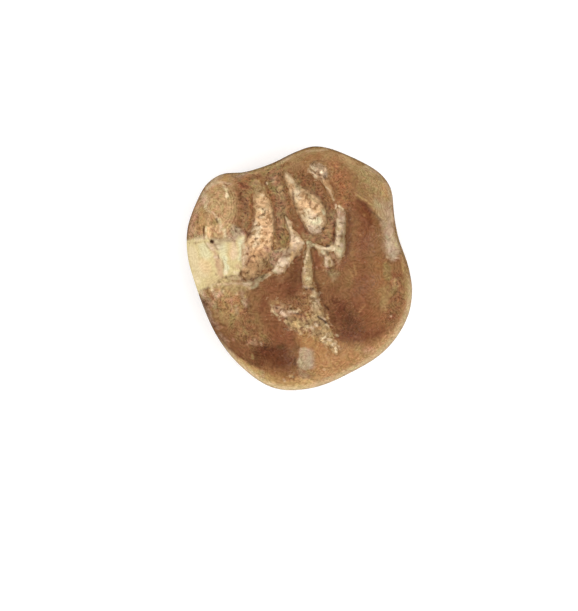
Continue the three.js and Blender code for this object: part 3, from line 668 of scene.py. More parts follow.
# Specks, cracks, outlines and dots over all of these
MARKS = [
    # painted shade: a dark thin line along the crown's edge on its cheek side and back
    ("dark olive", 0.3, LINE, [(450, 1565, 13), (14, 1509, 13), (-236, 1367, 13), (-511, 1243, 13)]),
    # painted highlight: a pale line on the cheek-side rim
    ("pink cream", 0.3, CRISP, [(88, 1472, 9), (338, 1496, 9)]),
    ("lilac", 0.5, CRISP, [(-760, 1169, 19), (-660, 1206, 19)]),
    # worn facet
    ("bright cream", 0.9, CRISP, [(-910, 945, 13), (-904, 908, 22)]),
    ("pink cream", 0.5, CRISP, [(-1197, 958, 10), (-1122, 1045, 13), (-985, 1088, 13), (-860, 1057, 10)]),
    ("olive tan", 0.5, CRISP, [(-997, 1032, 10), (-960, 970, 11), (-973, 908, 11)]),
    ("cream", 0.6, CRISP, [(-954, 1044, 13), (-910, 982, 20)]),
    ("cream", 0.8, CRISP, [(-1160, 827, 10), (-1173, 771, 19)]),
    ("pink cream", 0.5, CRISP, [(-1148, 734, 10), (-1073, 696, 13), (-1011, 609, 13), (-962, 485, 13)]),
    ("rose tan", 0.5, CRISP, [(-1210, 871, 11), (-1272, 746, 14), (-1310, 610, 13)]),
    ("cream", 0.5, CRISP, [(-999, 621, 13), (-974, 534, 17), (-999, 472, 13)]),
    ("pink cream", 0.7, CRISP, [(-931, 491, 15), (-931, 410, 19)]),
    ("black brown", 0.75, CRISP, [(-1036, 628, 13), (-1024, 590, 9)]),
    ("umber", 0.7, CRISP, [(-1273, 653, 13), (-1260, 641, 13)]),
    ("umber", 0.8, LINE, [(-1191, 535, 10), (-1196, 473, 10), (-1192, 410, 7)]),
    ("bright cream", 0.9, LINE, [(-1166, 522, 9), (-1164, 472, 10)]),
    ("cream", 0.9, CRISP, [(-1162, 423, 13), (-1162, 398, 13)]),
    ("peach", 0.7, CRISP, [(-1130, 503, 30), (-1124, 423, 33)]),
    ("orange brown", 0.55, CRISP, [(-1093, 497, 15), (-1087, 398, 17)]),
    ("olive", 0.5, CRISP, [(-1186, 540, 10), (-1086, 544, 10)]),
    ("grey tan", 0.6, SOFT, [(-1062, 360, 25), (-913, 360, 30), (-788, 397, 37)]),
    ("pink cream", 0.5, SOFT, [(-1286, 373, 20), (-1199, 398, 22)]),
    ("black brown", 1.0, CRISP, [(-1096, 348, 19), (-1088, 345, 19)]),
    ("rust", 0.5, CRISP, [(-1124, 373, 10), (-1075, 335, 13)]),
    ("olive", 0.6, CRISP, [(-1099, 584, 19), (-1043, 572, 19)]),
    ("deep umber", 0.8, LINE, [(-800, 522, 10), (-738, 518, 9)]),
    ("deep umber", 0.8, CRISP, [(-796, 478, 11), (-790, 466, 11)]),
    ("cream", 0.8, CRISP, [(-825, 515, 13), (-822, 509, 13)]),
    # ridge behind the back valley
    ("umber", 0.65, SOFT, [(-736, 945, 15), (-736, 870, 17), (-674, 808, 22), (-650, 758, 19)]),
    ("maroon", 0.7, SOFT, [(-736, 1057, 31), (-673, 1019, 25)]),
    ("maroon", 0.6, SOFT, [(-575, 695, 13), (-576, 546, 17), (-626, 447, 25), (-664, 360, 13)]),
    ("maroon", 0.6, SOFT, [(-623, 1162, 17), (-498, 1156, 17)]),
    ("umber", 0.6, CRISP, [(-725, 472, 13), (-651, 447, 17), (-614, 409, 15)]),
    ("olive", 0.7, CRISP, [(-461, 1199, 20), (-449, 1187, 20)]),
    ("khaki", 0.6, SOFT, [(-549, 982, 31), (-474, 994, 37)]),
    ("cream", 0.8, LINE, [(-554, 1056, 9), (-549, 1051, 9)]),
    # dentine edges and spots
    ("olive", 0.75, LINE, [(-1187, 348, 7), (-1150, 286, 9), (-1112, 248, 7)]),
    ("pink cream", 0.7, CRISP, [(-1150, 323, 13), (-1100, 261, 17), (-1075, 248, 13)]),
    ("rust", 0.45, LINE, [(-1075, 323, 9), (-1025, 248, 9)]),
    ("bright cream", 0.6, CRISP, [(-1013, 279, 15), (-1009, 276, 15)]),
    ("umber", 0.6, LINE, [(-1013, 174, 9), (-1007, 136, 7)]),
    ("pink cream", 0.8, CRISP, [(-1063, 155, 14), (-1038, 149, 14)]),
    ("rust", 0.55, LINE, [(-963, 111, 7), (-951, 37, 9), (-948, -26, 6)]),
    ("bright cream", 0.7, CRISP, [(-927, -26, 17), (-914, -44, 20)]),
    ("bright cream", 0.5, CRISP, [(-707, 434, 15), (-701, 273, 15)]),
    ("cream", 0.7, CRISP, [(-815, -32, 15), (-777, -45, 17)]),
    ("umber", 0.6, CRISP, [(-915, -107, 15), (-902, -119, 10)]),
    ("olive", 0.8, CRISP, [(-1008, -144, 16), (-996, -156, 13)]),
    ("umber", 0.5, CRISP, [(-1039, -212, 13), (-1035, -217, 13)]),
    ("maroon", 0.6, LINE, [(-1043, -60, 10), (-1039, -65, 10)]),
    ("olive", 0.5, CRISP, [(-852, 36, 13), (-814, 11, 13)]),
    ("cream", 0.6, CRISP, [(-1096, -212, 15), (-1090, -262, 13)]),
    ("umber", 0.55, CRISP, [(-1183, -249, 13), (-1139, -231, 15)]),
    ("cream", 0.5, CRISP, [(-122, -1328, 10), (-85, -1340, 11)]),
    ("umber", 0.6, CRISP, [(-135, -1352, 10), (-72, -1365, 10)]),
    ("umber", 0.3, LINE, [(-877, -88, 6), (-965, -150, 7), (-1064, -193, 7)]),
    ("mauve tan", 0.7, SOFT, [(-877, -113, 25), (-753, -101, 30)]),
    ("umber", 0.25, LINE, [(-852, -82, 6), (-740, -76, 7)]),
    ("umber", 0.4, LINE, [(-840, -138, 6), (-690, -144, 9)]),
    # grains and holes of the back valley
    ("bright cream", 0.85, CRISP, [(-556, 484, 17), (-520, 509, 20), (-488, 527, 20)]),
    ("cream", 0.7, CRISP, [(-551, 471, 20), (-514, 459, 17)]),
    ("bright cream", 0.75, CRISP, [(-520, 409, 14), (-508, 404, 14)]),
    ("cream", 0.85, CRISP, [(-551, 347, 20), (-514, 322, 22)]),
    ("cream", 0.85, CRISP, [(-577, 291, 22), (-552, 310, 17)]),
    ("peach", 0.9, CRISP, [(-514, 260, 20), (-477, 266, 15)]),
    ("cream", 0.7, CRISP, [(-488, 652, 16), (-457, 658, 16)]),
    ("cream", 0.7, CRISP, [(-474, 925, 13), (-450, 913, 13)]),
    ("cream", 0.7, CRISP, [(-513, 745, 11), (-413, 745, 11)]),
    ("green cream", 0.7, CRISP, [(-469, 720, 11), (-463, 715, 11)]),
    ("dark olive", 0.85, LINE, [(-430, 727, 9), (-433, 695, 10), (-470, 685, 7)]),
    ("umber", 0.75, CRISP, [(-513, 648, 11), (-508, 645, 11)]),
    ("umber", 0.5, CRISP, [(-532, 539, 11), (-513, 543, 10)]),
    ("umber", 0.7, LINE, [(-556, 377, 10), (-526, 382, 11)]),
    ("umber", 0.5, LINE, [(-552, 266, 7), (-514, 295, 9)]),
    ("umber", 0.55, CRISP, [(-451, 527, 14), (-414, 530, 11)]),
    ("umber", 0.45, CRISP, [(-381, 981, 11), (-356, 869, 11)]),
    # the next two: painted shade, dark marks along the back valley's right wall
    ("umber", 0.45, CRISP, [(-332, 707, 9), (-314, 508, 11), (-302, 434, 9)]),
    ("umber", 0.8, CRISP, [(-336, 272, 11), (-334, 247, 13)]),
    ("sand", 0.6, LINE, [(-308, 359, 10), (-284, 297, 11)]),
    ("umber", 0.75, CRISP, [(-428, 135, 15), (-415, 140, 13)]),
    ("umber", 0.7, CRISP, [(-570, 160, 14), (-565, 155, 14)]),
    ("maroon", 0.6, CRISP, [(-496, 197, 13), (-465, 160, 13)]),
    ("maroon", 0.5, CRISP, [(-627, 123, 13), (-652, 61, 13)]),
    ("rose tan", 0.7, CRISP, [(-427, 272, 25), (-390, 235, 25)]),
    ("bright cream", 0.55, CRISP, [(155, 638, 20), (209, 602, 22)]),
    # dark chips along the valleys' rims
    ("black brown", 0.85, CRISP, [(426, 430, 11), (433, 420, 11)]),
    ("umber", 0.6, CRISP, [(434, 587, 9), (436, 494, 9)]),
    ("deep umber", 0.6, CRISP, [(286, 510, 13), (306, 505, 11)]),
    ("black brown", 0.8, CRISP, [(335, 291, 10), (363, 293, 10)]),
    ("deep umber", 0.75, CRISP, [(131, -244, 11), (166, -249, 13)]),
    ("umber", 0.7, CRISP, [(69, -239, 11), (87, -247, 11)]),
    ("umber", 0.4, SOFT, [(500, 422, 14), (533, 407, 15)]),
    ("deep umber", 0.65, CRISP, [(-727, -26, 17), (-734, -76, 17)]),
    ("umber", 0.65, CRISP, [(-715, -126, 15), (-591, -126, 17), (-528, -107, 13)]),
    ("black brown", 0.7, CRISP, [(-478, -94, 11), (-441, -69, 9)]),
    ("olive", 0.8, SOFT, [(-653, -64, 22), (-634, -101, 20)]),
    ("pink cream", 0.8, CRISP, [(-691, -188, 15), (-628, -188, 16)]),
    ("grey green", 0.8, CRISP, [(-591, -225, 20), (-529, -194, 20)]),
    ("deep umber", 0.6, CRISP, [(-554, -257, 15), (-516, -226, 13)]),
    # middle ridge
    ("cream", 0.8, CRISP, [(-412, 1073, 14), (-408, 1068, 14)]),
    ("deep umber", 0.7, LINE, [(-429, 1093, 9), (-427, 1056, 9)]),
    ("umber", 0.7, LINE, [(-399, 1006, 9), (-392, 944, 9)]),
    ("umber", 0.6, LINE, [(-300, 1006, 9), (-295, 962, 9)]),
    ("lilac", 0.35, SOFT, [(-337, 1130, 20), (-331, 1093, 20)]),
    ("rose tan", 0.6, CRISP, [(-291, 663, 14), (-286, 653, 14)]),
    ("rose tan", 0.6, LINE, [(-252, 526, 11), (-214, 530, 11)]),
    ("umber", 0.6, LINE, [(-233, 499, 10), (-177, 496, 9)]),
    ("rust", 0.7, SOFT, [(-301, 658, 13), (-283, 458, 22), (-252, 384, 15)]),
    ("dark olive", 0.6, LINE, [(-208, 695, 7), (-171, 583, 9), (-132, 483, 7), (-120, 359, 7)]),
    ("umber", 0.6, CRISP, [(-77, 600, 13), (-52, 582, 11)]),
    # middle valley: rims, grains and holes
    ("cream", 0.7, CRISP, [(-174, 1192, 10), (-125, 1130, 15)]),
    ("bright cream", 0.7, CRISP, [(-100, 1099, 14), (-93, 1089, 14)]),
    ("bright cream", 0.8, SOFT, [(-51, 993, 17), (-20, 943, 33), (-7, 893, 22)]),
    ("cream", 0.8, SOFT, [(-162, 1174, 20), (-100, 1093, 25)]),
    ("grey green", 0.7, SOFT, [(-50, 1055, 17), (-13, 1018, 20)]),
    ("peach", 0.7, SOFT, [(-113, 1043, 17), (-88, 993, 17)]),
    ("chestnut", 0.6, SOFT, [(129, 837, 13), (148, 800, 13)]),
    ("umber", 0.45, CRISP, [(23, 831, 10), (48, 769, 11)]),
    ("khaki", 0.6, CRISP, [(86, 943, 11), (173, 893, 13), (223, 831, 11)]),
    ("umber", 0.65, LINE, [(-94, 1006, 6), (-81, 906, 11), (-71, 806, 11)]),
    ("deep umber", 0.7, CRISP, [(-57, 764, 14), (-44, 752, 14)]),
    ("umber", 0.6, CRISP, [(-14, 688, 11), (47, 557, 14), (84, 476, 16)]),
    ("peach", 0.8, CRISP, [(56, 794, 19), (92, 775, 19)]),
    ("umber", 0.75, LINE, [(136, 850, 6), (121, 800, 9)]),
    ("bright cream", 0.7, CRISP, [(110, 744, 14), (115, 738, 14)]),
    ("peach", 0.8, CRISP, [(197, 719, 19), (247, 719, 19)]),
    ("rose tan", 0.5, CRISP, [(172, 675, 11), (210, 669, 11)]),
    ("pink cream", 0.8, CRISP, [(122, 644, 17), (160, 657, 13)]),
    ("bright cream", 0.6, SOFT, [(128, 595, 17), (185, 613, 17)]),
    ("green cream", 0.8, CRISP, [(285, 731, 15), (303, 694, 17)]),
    ("deep umber", 0.85, CRISP, [(290, 503, 15), (300, 507, 15)]),
    ("umber", 0.6, CRISP, [(240, 526, 11), (247, 523, 11)]),
    ("umber", 0.45, CRISP, [(110, 532, 9), (147, 515, 11)]),
    ("umber", 0.55, CRISP, [(291, 818, 7), (328, 719, 10), (346, 582, 11)]),
    ("umber", 0.7, SOFT, [(161, 955, 20), (260, 893, 20)]),
    ("yellow", 0.5, CRISP, [(111, 906, 10), (198, 831, 11)]),
    ("umber", 0.5, SOFT, [(49, 1049, 15), (80, 1012, 15)]),
    ("umber", 0.5, CRISP, [(84, 464, 17), (159, 433, 11)]),
    ("dark olive", 0.5, CRISP, [(259, 408, 13), (302, 389, 11)]),
    # arms and centre: pale grains with dark gaps
    ("cream", 0.7, CRISP, [(-154, 620, 14), (-139, 576, 14)]),
    ("cream", 0.7, CRISP, [(-107, 476, 16), (-90, 446, 17)]),
    ("bright cream", 0.55, CRISP, [(-41, 383, 16), (-22, 352, 16)]),
    ("pink cream", 0.8, CRISP, [(-72, 296, 16), (-53, 264, 15)]),
    ("pink cream", 0.7, CRISP, [(22, 338, 14), (46, 326, 14)]),
    ("umber", 0.4, LINE, [(-65, 402, 6), (-78, 346, 7)]),
    ("umber", 0.4, LINE, [(-22, 301, 6), (-3, 327, 6)]),
    ("deep umber", 0.6, CRISP, [(4, 239, 13), (21, 246, 11)]),
    ("deep umber", 0.6, CRISP, [(-60, 147, 15), (-29, 159, 13)]),
    ("umber", 0.6, CRISP, [(8, 172, 13), (21, 134, 13)]),
    ("bright cream", 0.75, CRISP, [(-160, 135, 15), (-129, 130, 14)]),
    ("golden", 0.7, CRISP, [(-97, 209, 15), (-104, 135, 13)]),
    ("bright cream", 0.75, CRISP, [(-286, 35, 21), (-261, 18, 19)]),
    ("green cream", 0.6, CRISP, [(-319, -22, 19), (-296, -39, 17)]),
    ("cream", 0.7, CRISP, [(-196, 23, 19), (-174, 35, 16)]),
    ("cream", 0.6, CRISP, [(-241, 78, 15), (-221, 60, 14)]),
    ("pink cream", 0.6, CRISP, [(-259, -44, 15), (-249, -47, 13)]),
    ("umber", 0.6, CRISP, [(-232, -52, 11), (-224, -54, 11)]),
    ("umber", 0.55, CRISP, [(-154, 40, 13), (-162, -2, 11)]),
    ("umber", 0.55, LINE, [(-266, 140, 6), (-321, 35, 7), (-359, -27, 7)]),
    ("cream", 0.55, LINE, [(-371, -69, 11), (-434, -106, 13)]),
    ("umber", 0.6, CRISP, [(-354, -114, 13), (-292, -97, 13)]),
    # front pit, slit and crest
    ("cream", 0.9, LINE, [(154, 1266, 11), (158, 1249, 11)]),
    ("cream", 0.8, LINE, [(183, 1247, 11), (192, 1234, 11)]),
    ("pink cream", 0.8, LINE, [(237, 1316, 13), (250, 1309, 11)]),
    ("bright cream", 0.95, CRISP, [(269, 1207, 17), (279, 1199, 17)]),
    ("bright cream", 0.8, CRISP, [(189, 1159, 16), (197, 1149, 16)]),
    ("lilac", 0.7, CRISP, [(319, 1192, 13), (331, 1159, 13)]),
    ("deep umber", 0.7, LINE, [(207, 1222, 11), (219, 1209, 11)]),
    ("deep umber", 0.6, LINE, [(299, 1167, 7), (304, 1129, 9)]),
    ("deep umber", 0.55, LINE, [(163, 1341, 7), (225, 1356, 9), (300, 1341, 7)]),
    ("umber", 0.55, LINE, [(369, 1241, 7), (381, 1154, 9)]),
    ("umber", 0.6, CRISP, [(137, 1159, 10), (167, 1117, 11)]),
    ("umber", 0.6, LINE, [(254, 1080, 7), (336, 980, 9), (380, 893, 7)]),
    ("cream", 0.7, LINE, [(323, 1022, 9), (380, 980, 9)]),
    ("cream", 0.6, LINE, [(378, 967, 6), (422, 855, 7)]),
    # painted highlight: a pale line where the front crest catches the light, then painted shade along its
    # inner side
    ("golden", 0.6, LINE, [(672, 954, 6), (734, 905, 10), (808, 861, 10), (883, 805, 7)]),
    ("khaki", 0.45, CRISP, [(883, 805, 10), (957, 717, 15), (1032, 643, 15), (1106, 580, 10)]),
    ("deep umber", 0.5, SOFT, [(721, 867, 7), (771, 830, 13), (833, 774, 15), (870, 718, 10)]),
    ("dark olive", 0.5, LINE, [(890, 718, 9), (965, 663, 10), (1032, 580, 7)]),
    ("ochre", 0.5, CRISP, [(800, 685, 11), (803, 668, 10)]),
    ("ochre", 0.5, LINE, [(744, 424, 10), (769, 422, 9)]),
    ("ochre", 0.5, LINE, [(902, 531, 10), (914, 528, 9)]),
    # front valley
    ("bright cream", 0.85, LINE, [(447, 798, 10), (452, 756, 11)]),
    ("bright cream", 0.85, LINE, [(487, 788, 11), (529, 743, 13)]),
    ("pink cream", 0.7, CRISP, [(509, 686, 13), (514, 669, 13)]),
    ("rose tan", 0.6, CRISP, [(479, 711, 11), (554, 673, 14)]),
    ("umber", 0.6, CRISP, [(504, 634, 10), (521, 626, 10)]),
    ("bright cream", 0.8, CRISP, [(466, 636, 11), (471, 599, 13)]),
    ("dark olive", 0.6, LINE, [(488, 581, 7), (566, 574, 9)]),
    ("yellow", 0.7, CRISP, [(483, 507, 16), (508, 512, 15)]),
    ("cream", 0.8, CRISP, [(471, 474, 13), (478, 445, 13)]),
    ("dark olive", 0.6, CRISP, [(520, 474, 10), (528, 445, 10)]),
    ("umber", 0.65, CRISP, [(478, 412, 10), (525, 410, 9)]),
    ("bright cream", 0.75, CRISP, [(465, 382, 11), (463, 350, 14)]),
    ("bright cream", 0.75, CRISP, [(432, 263, 17), (465, 300, 19)]),
    ("deep umber", 0.7, LINE, [(482, 293, 10), (489, 285, 10)]),
    ("lilac", 0.6, CRISP, [(520, 320, 13), (520, 283, 13)]),
    ("bright cream", 0.75, CRISP, [(465, 201, 16), (482, 178, 16)]),
    ("deep umber", 0.65, CRISP, [(434, 562, 13), (433, 544, 13)]),
    ("deep umber", 0.65, CRISP, [(426, 470, 11), (433, 425, 14)]),
    ("deep umber", 0.55, CRISP, [(435, 382, 11), (415, 320, 15)]),
    # painted shade: dark lines down the front valley's right wall
    ("deep umber", 0.6, CRISP, [(564, 736, 9), (596, 681, 10), (610, 574, 15)]),
    ("deep umber", 0.55, CRISP, [(600, 531, 13), (587, 407, 11), (587, 270, 15), (569, 183, 11)]),
    # hook and blob
    ("bright cream", 0.8, LINE, [(201, 283, 11), (245, 258, 14), (320, 253, 11)]),
    ("bright cream", 0.5, CRISP, [(333, 251, 11), (420, 251, 17)]),
    ("black brown", 0.9, CRISP, [(335, 288, 13), (353, 289, 13)]),
    ("deep umber", 0.7, CRISP, [(166, 276, 14), (201, 241, 14)]),
    ("green cream", 0.7, CRISP, [(275, 221, 14), (300, 191, 14)]),
    ("dark olive", 0.7, CRISP, [(337, 208, 15), (350, 179, 15)]),
    ("umber", 0.6, CRISP, [(265, 176, 11), (320, 166, 10)]),
    ("pink cream", 0.85, CRISP, [(315, 146, 13), (320, 84, 17), (339, 34, 14)]),
    ("olive", 0.85, CRISP, [(367, 101, 17), (369, 79, 16)]),
    ("pink cream", 0.5, LINE, [(370, 136, 9), (399, 114, 9), (397, 59, 9)]),
    ("umber", 0.6, CRISP, [(419, 114, 11), (427, 46, 11)]),
    ("deep umber", 0.6, LINE, [(357, 14, 9), (419, 14, 9)]),
    ("mauve tan", 0.45, SOFT, [(395, 183, 25), (457, 146, 25), (481, 71, 17)]),
    ("grey green", 0.35, SOFT, [(332, -16, 13), (406, -65, 42), (468, -53, 25), (418, -128, 25)]),
    ("rose tan", 0.5, LINE, [(205, 29, 10), (215, 22, 10)]),
    # head of the centre valley
    ("cream", 0.75, LINE, [(116, 266, 9), (101, 209, 10), (83, 134, 9)]),
    ("deep umber", 0.55, LINE, [(146, 271, 9), (136, 184, 10), (163, 84, 10)]),
    ("deep umber", 0.5, LINE, [(69, 259, 9), (63, 159, 10), (38, 85, 9)]),
    ("cream", 0.7, CRISP, [(58, 109, 13), (68, 84, 13)]),
    ("olive tan", 0.7, CRISP, [(120, 97, 20), (113, 22, 22)]),
    ("pink cream", 0.75, CRISP, [(53, 15, 15), (57, -40, 16)]),
    ("cream", 0.7, CRISP, [(87, -3, 13), (100, -5, 13)]),
    ("green cream", 0.5, CRISP, [(87, -115, 19), (119, -117, 15)]),
    ("pink cream", 0.6, CRISP, [(44, -214, 15), (94, -227, 15)]),
    ("umber", 0.6, CRISP, [(20, 10, 13), (15, -115, 15), (19, -214, 13)]),
    ("maroon", 0.6, CRISP, [(-43, -239, 19), (-5, -202, 15)]),
    # painted shade: a dark line down the centre valley's right wall
    ("deep umber", 0.6, CRISP, [
        (183, 84, 11), (182, -90, 15), (219, -202, 17), (243, -314, 20), (275, -389, 13),
    ]),
    ("deep umber", 0.75, CRISP, [(77, -247, 11), (89, -249, 11)]),
    ("deep umber", 0.8, CRISP, [(126, -242, 11), (161, -264, 11)]),
    ("deep umber", 0.6, LINE, [(51, -351, 10), (69, -354, 10)]),
    ("cream", 0.6, CRISP, [(169, -277, 17), (201, -302, 17)]),
    ("cream", 0.5, CRISP, [(151, -339, 15), (188, -351, 15)]),
    ("dark olive", 0.45, LINE, [(143, -364, 7), (206, -371, 7)]),
    ("pink cream", 0.5, CRISP, [(223, -389, 14), (235, -426, 14)]),
    ("rose tan", 0.5, CRISP, [(126, -438, 14), (150, -483, 14)]),
    # lower centre valley: cracks, holes and pale grains
    ("deep umber", 0.8, LINE, [(303, -446, 11), (355, -501, 11)]),
    ("black brown", 0.8, LINE, [(225, -588, 9), (292, -628, 9)]),
    ("black brown", 0.85, LINE, [(302, -638, 10), (329, -670, 13)]),
    ("deep umber", 0.8, CRISP, [(187, -657, 10), (217, -652, 9)]),
    ("deep umber", 0.75, CRISP, [(237, -692, 13), (249, -682, 13)]),
    ("bright cream", 0.65, CRISP, [(192, -687, 15), (212, -700, 15)]),
    ("pink cream", 0.7, LINE, [(255, -588, 10), (317, -620, 10)]),
    ("cream", 0.7, CRISP, [(329, -688, 13), (349, -725, 13)]),
    ("pink cream", 0.6, CRISP, [(142, -720, 13), (167, -737, 13)]),
    ("umber", 0.6, CRISP, [(241, -807, 13), (261, -799, 13)]),
    ("umber", 0.5, CRISP, [(310, -501, 10), (317, -576, 11)]),
    ("golden", 0.6, CRISP, [(342, -563, 11), (337, -613, 11)]),
    ("bright cream", 0.8, LINE, [(261, -867, 10), (316, -844, 11)]),
    ("cream", 0.85, CRISP, [(346, -819, 22), (373, -807, 20)]),
    ("pink cream", 0.7, CRISP, [(348, -869, 16), (383, -882, 15)]),
    ("cream", 0.6, CRISP, [(298, -899, 15), (321, -911, 14)]),
    ("umber", 0.6, LINE, [(298, -874, 9), (323, -874, 9)]),
    ("dark olive", 0.6, CRISP, [(400, -892, 13), (415, -912, 13)]),
    ("cream", 0.7, CRISP, [(403, -942, 14), (440, -924, 15)]),
    ("bright cream", 0.85, CRISP, [(445, -979, 14), (452, -1024, 14)]),
    ("umber", 0.6, LINE, [(408, -969, 10), (415, -974, 10)]),
    ("cream", 0.5, LINE, [(465, -949, 9), (490, -962, 9)]),
    ("cream", 0.6, LINE, [(458, -817, 11), (475, -830, 11)]),
    ("maroon", 0.75, CRISP, [(473, -850, 13), (515, -857, 11)]),
    ("golden", 0.8, CRISP, [(98, -570, 14), (103, -600, 15)]),
    ("peach", 0.6, CRISP, [(45, -607, 14), (55, -632, 14)]),
    ("umber", 0.65, CRISP, [(23, -637, 11), (30, -645, 10)]),
    ("rust", 0.6, LINE, [(68, -588, 9), (87, -662, 10)]),
    ("umber", 0.7, LINE, [(72, -682, 9), (100, -682, 9)]),
    ("cream", 0.7, CRISP, [(87, -707, 13), (97, -719, 13)]),
    # side basin
    ("yellow", 0.55, CRISP, [(-22, -669, 15), (-15, -724, 13)]),
    ("umber", 0.6, CRISP, [(17, -732, 14), (35, -719, 11)]),
    ("deep umber", 0.75, CRISP, [(-52, -547, 14), (-32, -555, 13)]),
    ("umber", 0.6, LINE, [(-32, -555, 9), (11, -567, 9)]),
    ("cream", 0.7, CRISP, [(-64, -530, 14), (-39, -525, 13)]),
    ("pink cream", 0.5, CRISP, [(-231, -532, 20), (-181, -582, 20)]),
    ("pink cream", 0.5, CRISP, [(-131, -530, 17), (-82, -530, 15)]),
    ("deep umber", 0.8, CRISP, [(-288, -480, 11), (-282, -482, 11)]),
    ("pink cream", 0.45, LINE, [(-310, -460, 7), (-256, -467, 7)]),
    ("deep umber", 0.65, CRISP, [(-111, -490, 13), (-101, -495, 13)]),
    ("cream", 0.5, CRISP, [(-323, -525, 14), (-281, -569, 16)]),
    ("deep umber", 0.6, CRISP, [(-157, -744, 11), (-145, -746, 11)]),
    ("umber", 0.55, CRISP, [(-207, -724, 13), (-189, -736, 13)]),
    ("golden", 0.5, CRISP, [(-280, -405, 14), (-268, -418, 13)]),
    ("umber", 0.4, LINE, [(-206, -594, 7), (-94, -657, 9)]),
    # tongue-side slopes
    ("orange tan", 0.7, SOFT, [(92, -812, 37), (104, -874, 50)]),
    ("deep umber", 0.6, SOFT, [(616, -551, 20), (628, -638, 25), (591, -676, 17)]),
    ("maroon", 0.7, CRISP, [(462, -538, 16), (509, -571, 15)]),
    ("maroon", 0.7, CRISP, [(578, -832, 13), (640, -842, 15)]),
    ("rose tan", 0.35, CRISP, [(685, -825, 9), (697, -838, 9)]),
    ("maroon", 0.5, SOFT, [(679, -501, 17), (711, -526, 15)]),
    ("ochre", 0.55, LINE, [(728, -539, 9), (803, -452, 10)]),
    ("ochre", 0.7, CRISP, [(663, 71, 11), (688, -4, 13), (693, -66, 11)]),
    ("ochre", 0.5, CRISP, [(618, -4, 13), (655, -91, 13)]),
    ("olive", 0.25, BROAD, [(656, 158, 37), (718, 71, 37), (605, -215, 50)]),
    ("olive tan", 0.5, SOFT, [(978, -278, 20), (1078, -216, 20)]),
    ("rust", 0.6, SOFT, [(1166, -62, 20), (1266, -92, 25)]),
    ("rust", 0.5, SOFT, [(1290, -229, 17), (1315, -254, 17)]),
    ("rust", 0.5, SOFT, [(1265, -378, 25), (1302, -416, 25)]),
    ("golden", 0.5, CRISP, [(1183, -142, 13), (1188, -179, 13)]),
    ("golden", 0.5, CRISP, [(1274, 70, 15), (1291, -17, 15)]),
    ("pink cream", 0.6, CRISP, [(1137, -577, 7), (1139, -584, 7)]),
    ("umber", 0.5, LINE, [(1114, -560, 9), (1172, -565, 10)]),
    ("umber", 0.6, LINE, [(1190, -361, 11), (1197, -373, 11)]),
    ("umber", 0.55, CRISP, [(973, -487, 13), (983, -492, 11)]),
    ("umber", 0.5, CRISP, [(1134, -734, 14), (1143, -744, 13)]),
    # front margin, in and beside its painted highlight
    ("grey green", 0.7, CRISP, [(1088, 406, 17), (1110, 356, 15)]),
    ("pink cream", 0.4, CRISP, [(1131, 468, 10), (1143, 419, 13)]),
    ("yellow", 0.5, CRISP, [(1193, 326, 11), (1200, 301, 11)]),
    ("cream", 0.4, CRISP, [(1087, 152, 10), (1097, 145, 10)]),
    ("pink cream", 0.4, LINE, [(1192, 142, 9), (1242, 137, 9)]),
    ("maroon", 0.6, LINE, [(1184, 122, 7), (1229, 120, 7)]),
    ("deep umber", 0.7, CRISP, [(1107, 100, 11), (1114, 93, 11)]),
    ("dark olive", 0.45, LINE, [(1181, 518, 7), (1230, 344, 13), (1292, 169, 11), (1341, 32, 6)]),
    ("deep umber", 0.6, CRISP, [(1249, 207, 13), (1259, 197, 13)]),
    ("pink cream", 0.35, CRISP, [(1148, 1016, 10), (1152, 829, 10)]),
    ("olive", 0.6, SOFT, [(1021, 1145, 20), (1059, 1120, 20)]),
    # back tongue-side cusp and the foot of the crown below it
    ("umber", 0.45, LINE, [
        (-1215, -374, 10), (-1153, -523, 11), (-1079, -685, 11), (-992, -847, 11), (-881, -984, 13),
    ]),
    ("umber", 0.5, CRISP, [(-881, -984, 13), (-769, -1076, 13), (-669, -1141, 15)]),
    ("golden", 0.5, SOFT, [(-831, -1066, 11), (-744, -1146, 17), (-657, -1208, 20)]),
    ("deep umber", 0.6, CRISP, [(-1202, -394, 17), (-1170, -436, 15)]),
    ("grey tan", 0.7, SOFT, [(-1214, -287, 20), (-1195, -349, 15)]),
    ("pink cream", 0.55, SOFT, [(-1090, -262, 17), (-1040, -337, 25), (-965, -275, 20)]),
    ("umber", 0.45, LINE, [(-1028, -362, 9), (-1021, -536, 10)]),
    ("umber", 0.4, LINE, [(-990, -312, 6), (-983, -511, 9)]),
    ("olive", 0.55, SOFT, [(-879, -611, 30), (-855, -698, 30)]),
    ("grey green", 0.6, SOFT, [(-791, -462, 20), (-779, -549, 20)]),
    ("grey green", 0.5, SOFT, [(-1065, -411, 20), (-1053, -473, 15)]),
    ("rose tan", 0.55, CRISP, [(-853, -362, 14), (-846, -511, 14)]),
    ("cream", 0.4, CRISP, [(-791, -300, 13), (-786, -312, 13)]),
    ("golden", 0.6, CRISP, [(-679, -325, 11), (-671, -345, 11)]),
    ("grey tan", 0.5, CRISP, [(-716, -399, 15), (-667, -449, 16)]),
    ("umber", 0.55, CRISP, [(-692, -499, 11), (-609, -462, 13)]),
    ("umber", 0.5, CRISP, [(-908, -461, 13), (-891, -474, 11)]),
    ("umber", 0.5, LINE, [(-1066, -710, 10), (-991, -680, 11), (-917, -710, 10)]),
    ("rose tan", 0.35, CRISP, [(-1042, -747, 10), (-967, -723, 10)]),
    ("rose tan", 0.4, CRISP, [(-930, -872, 10), (-880, -904, 11)]),
    ("rose tan", 0.6, CRISP, [(-830, -872, 15), (-823, -877, 14)]),
    ("umber", 0.55, SOFT, [(-698, -840, 14), (-631, -848, 13)]),
    ("mauve tan", 0.5, SOFT, [(-594, -915, 15), (-556, -927, 15)]),
    ("rose tan", 0.5, CRISP, [(-569, -865, 11), (-556, -870, 11)]),
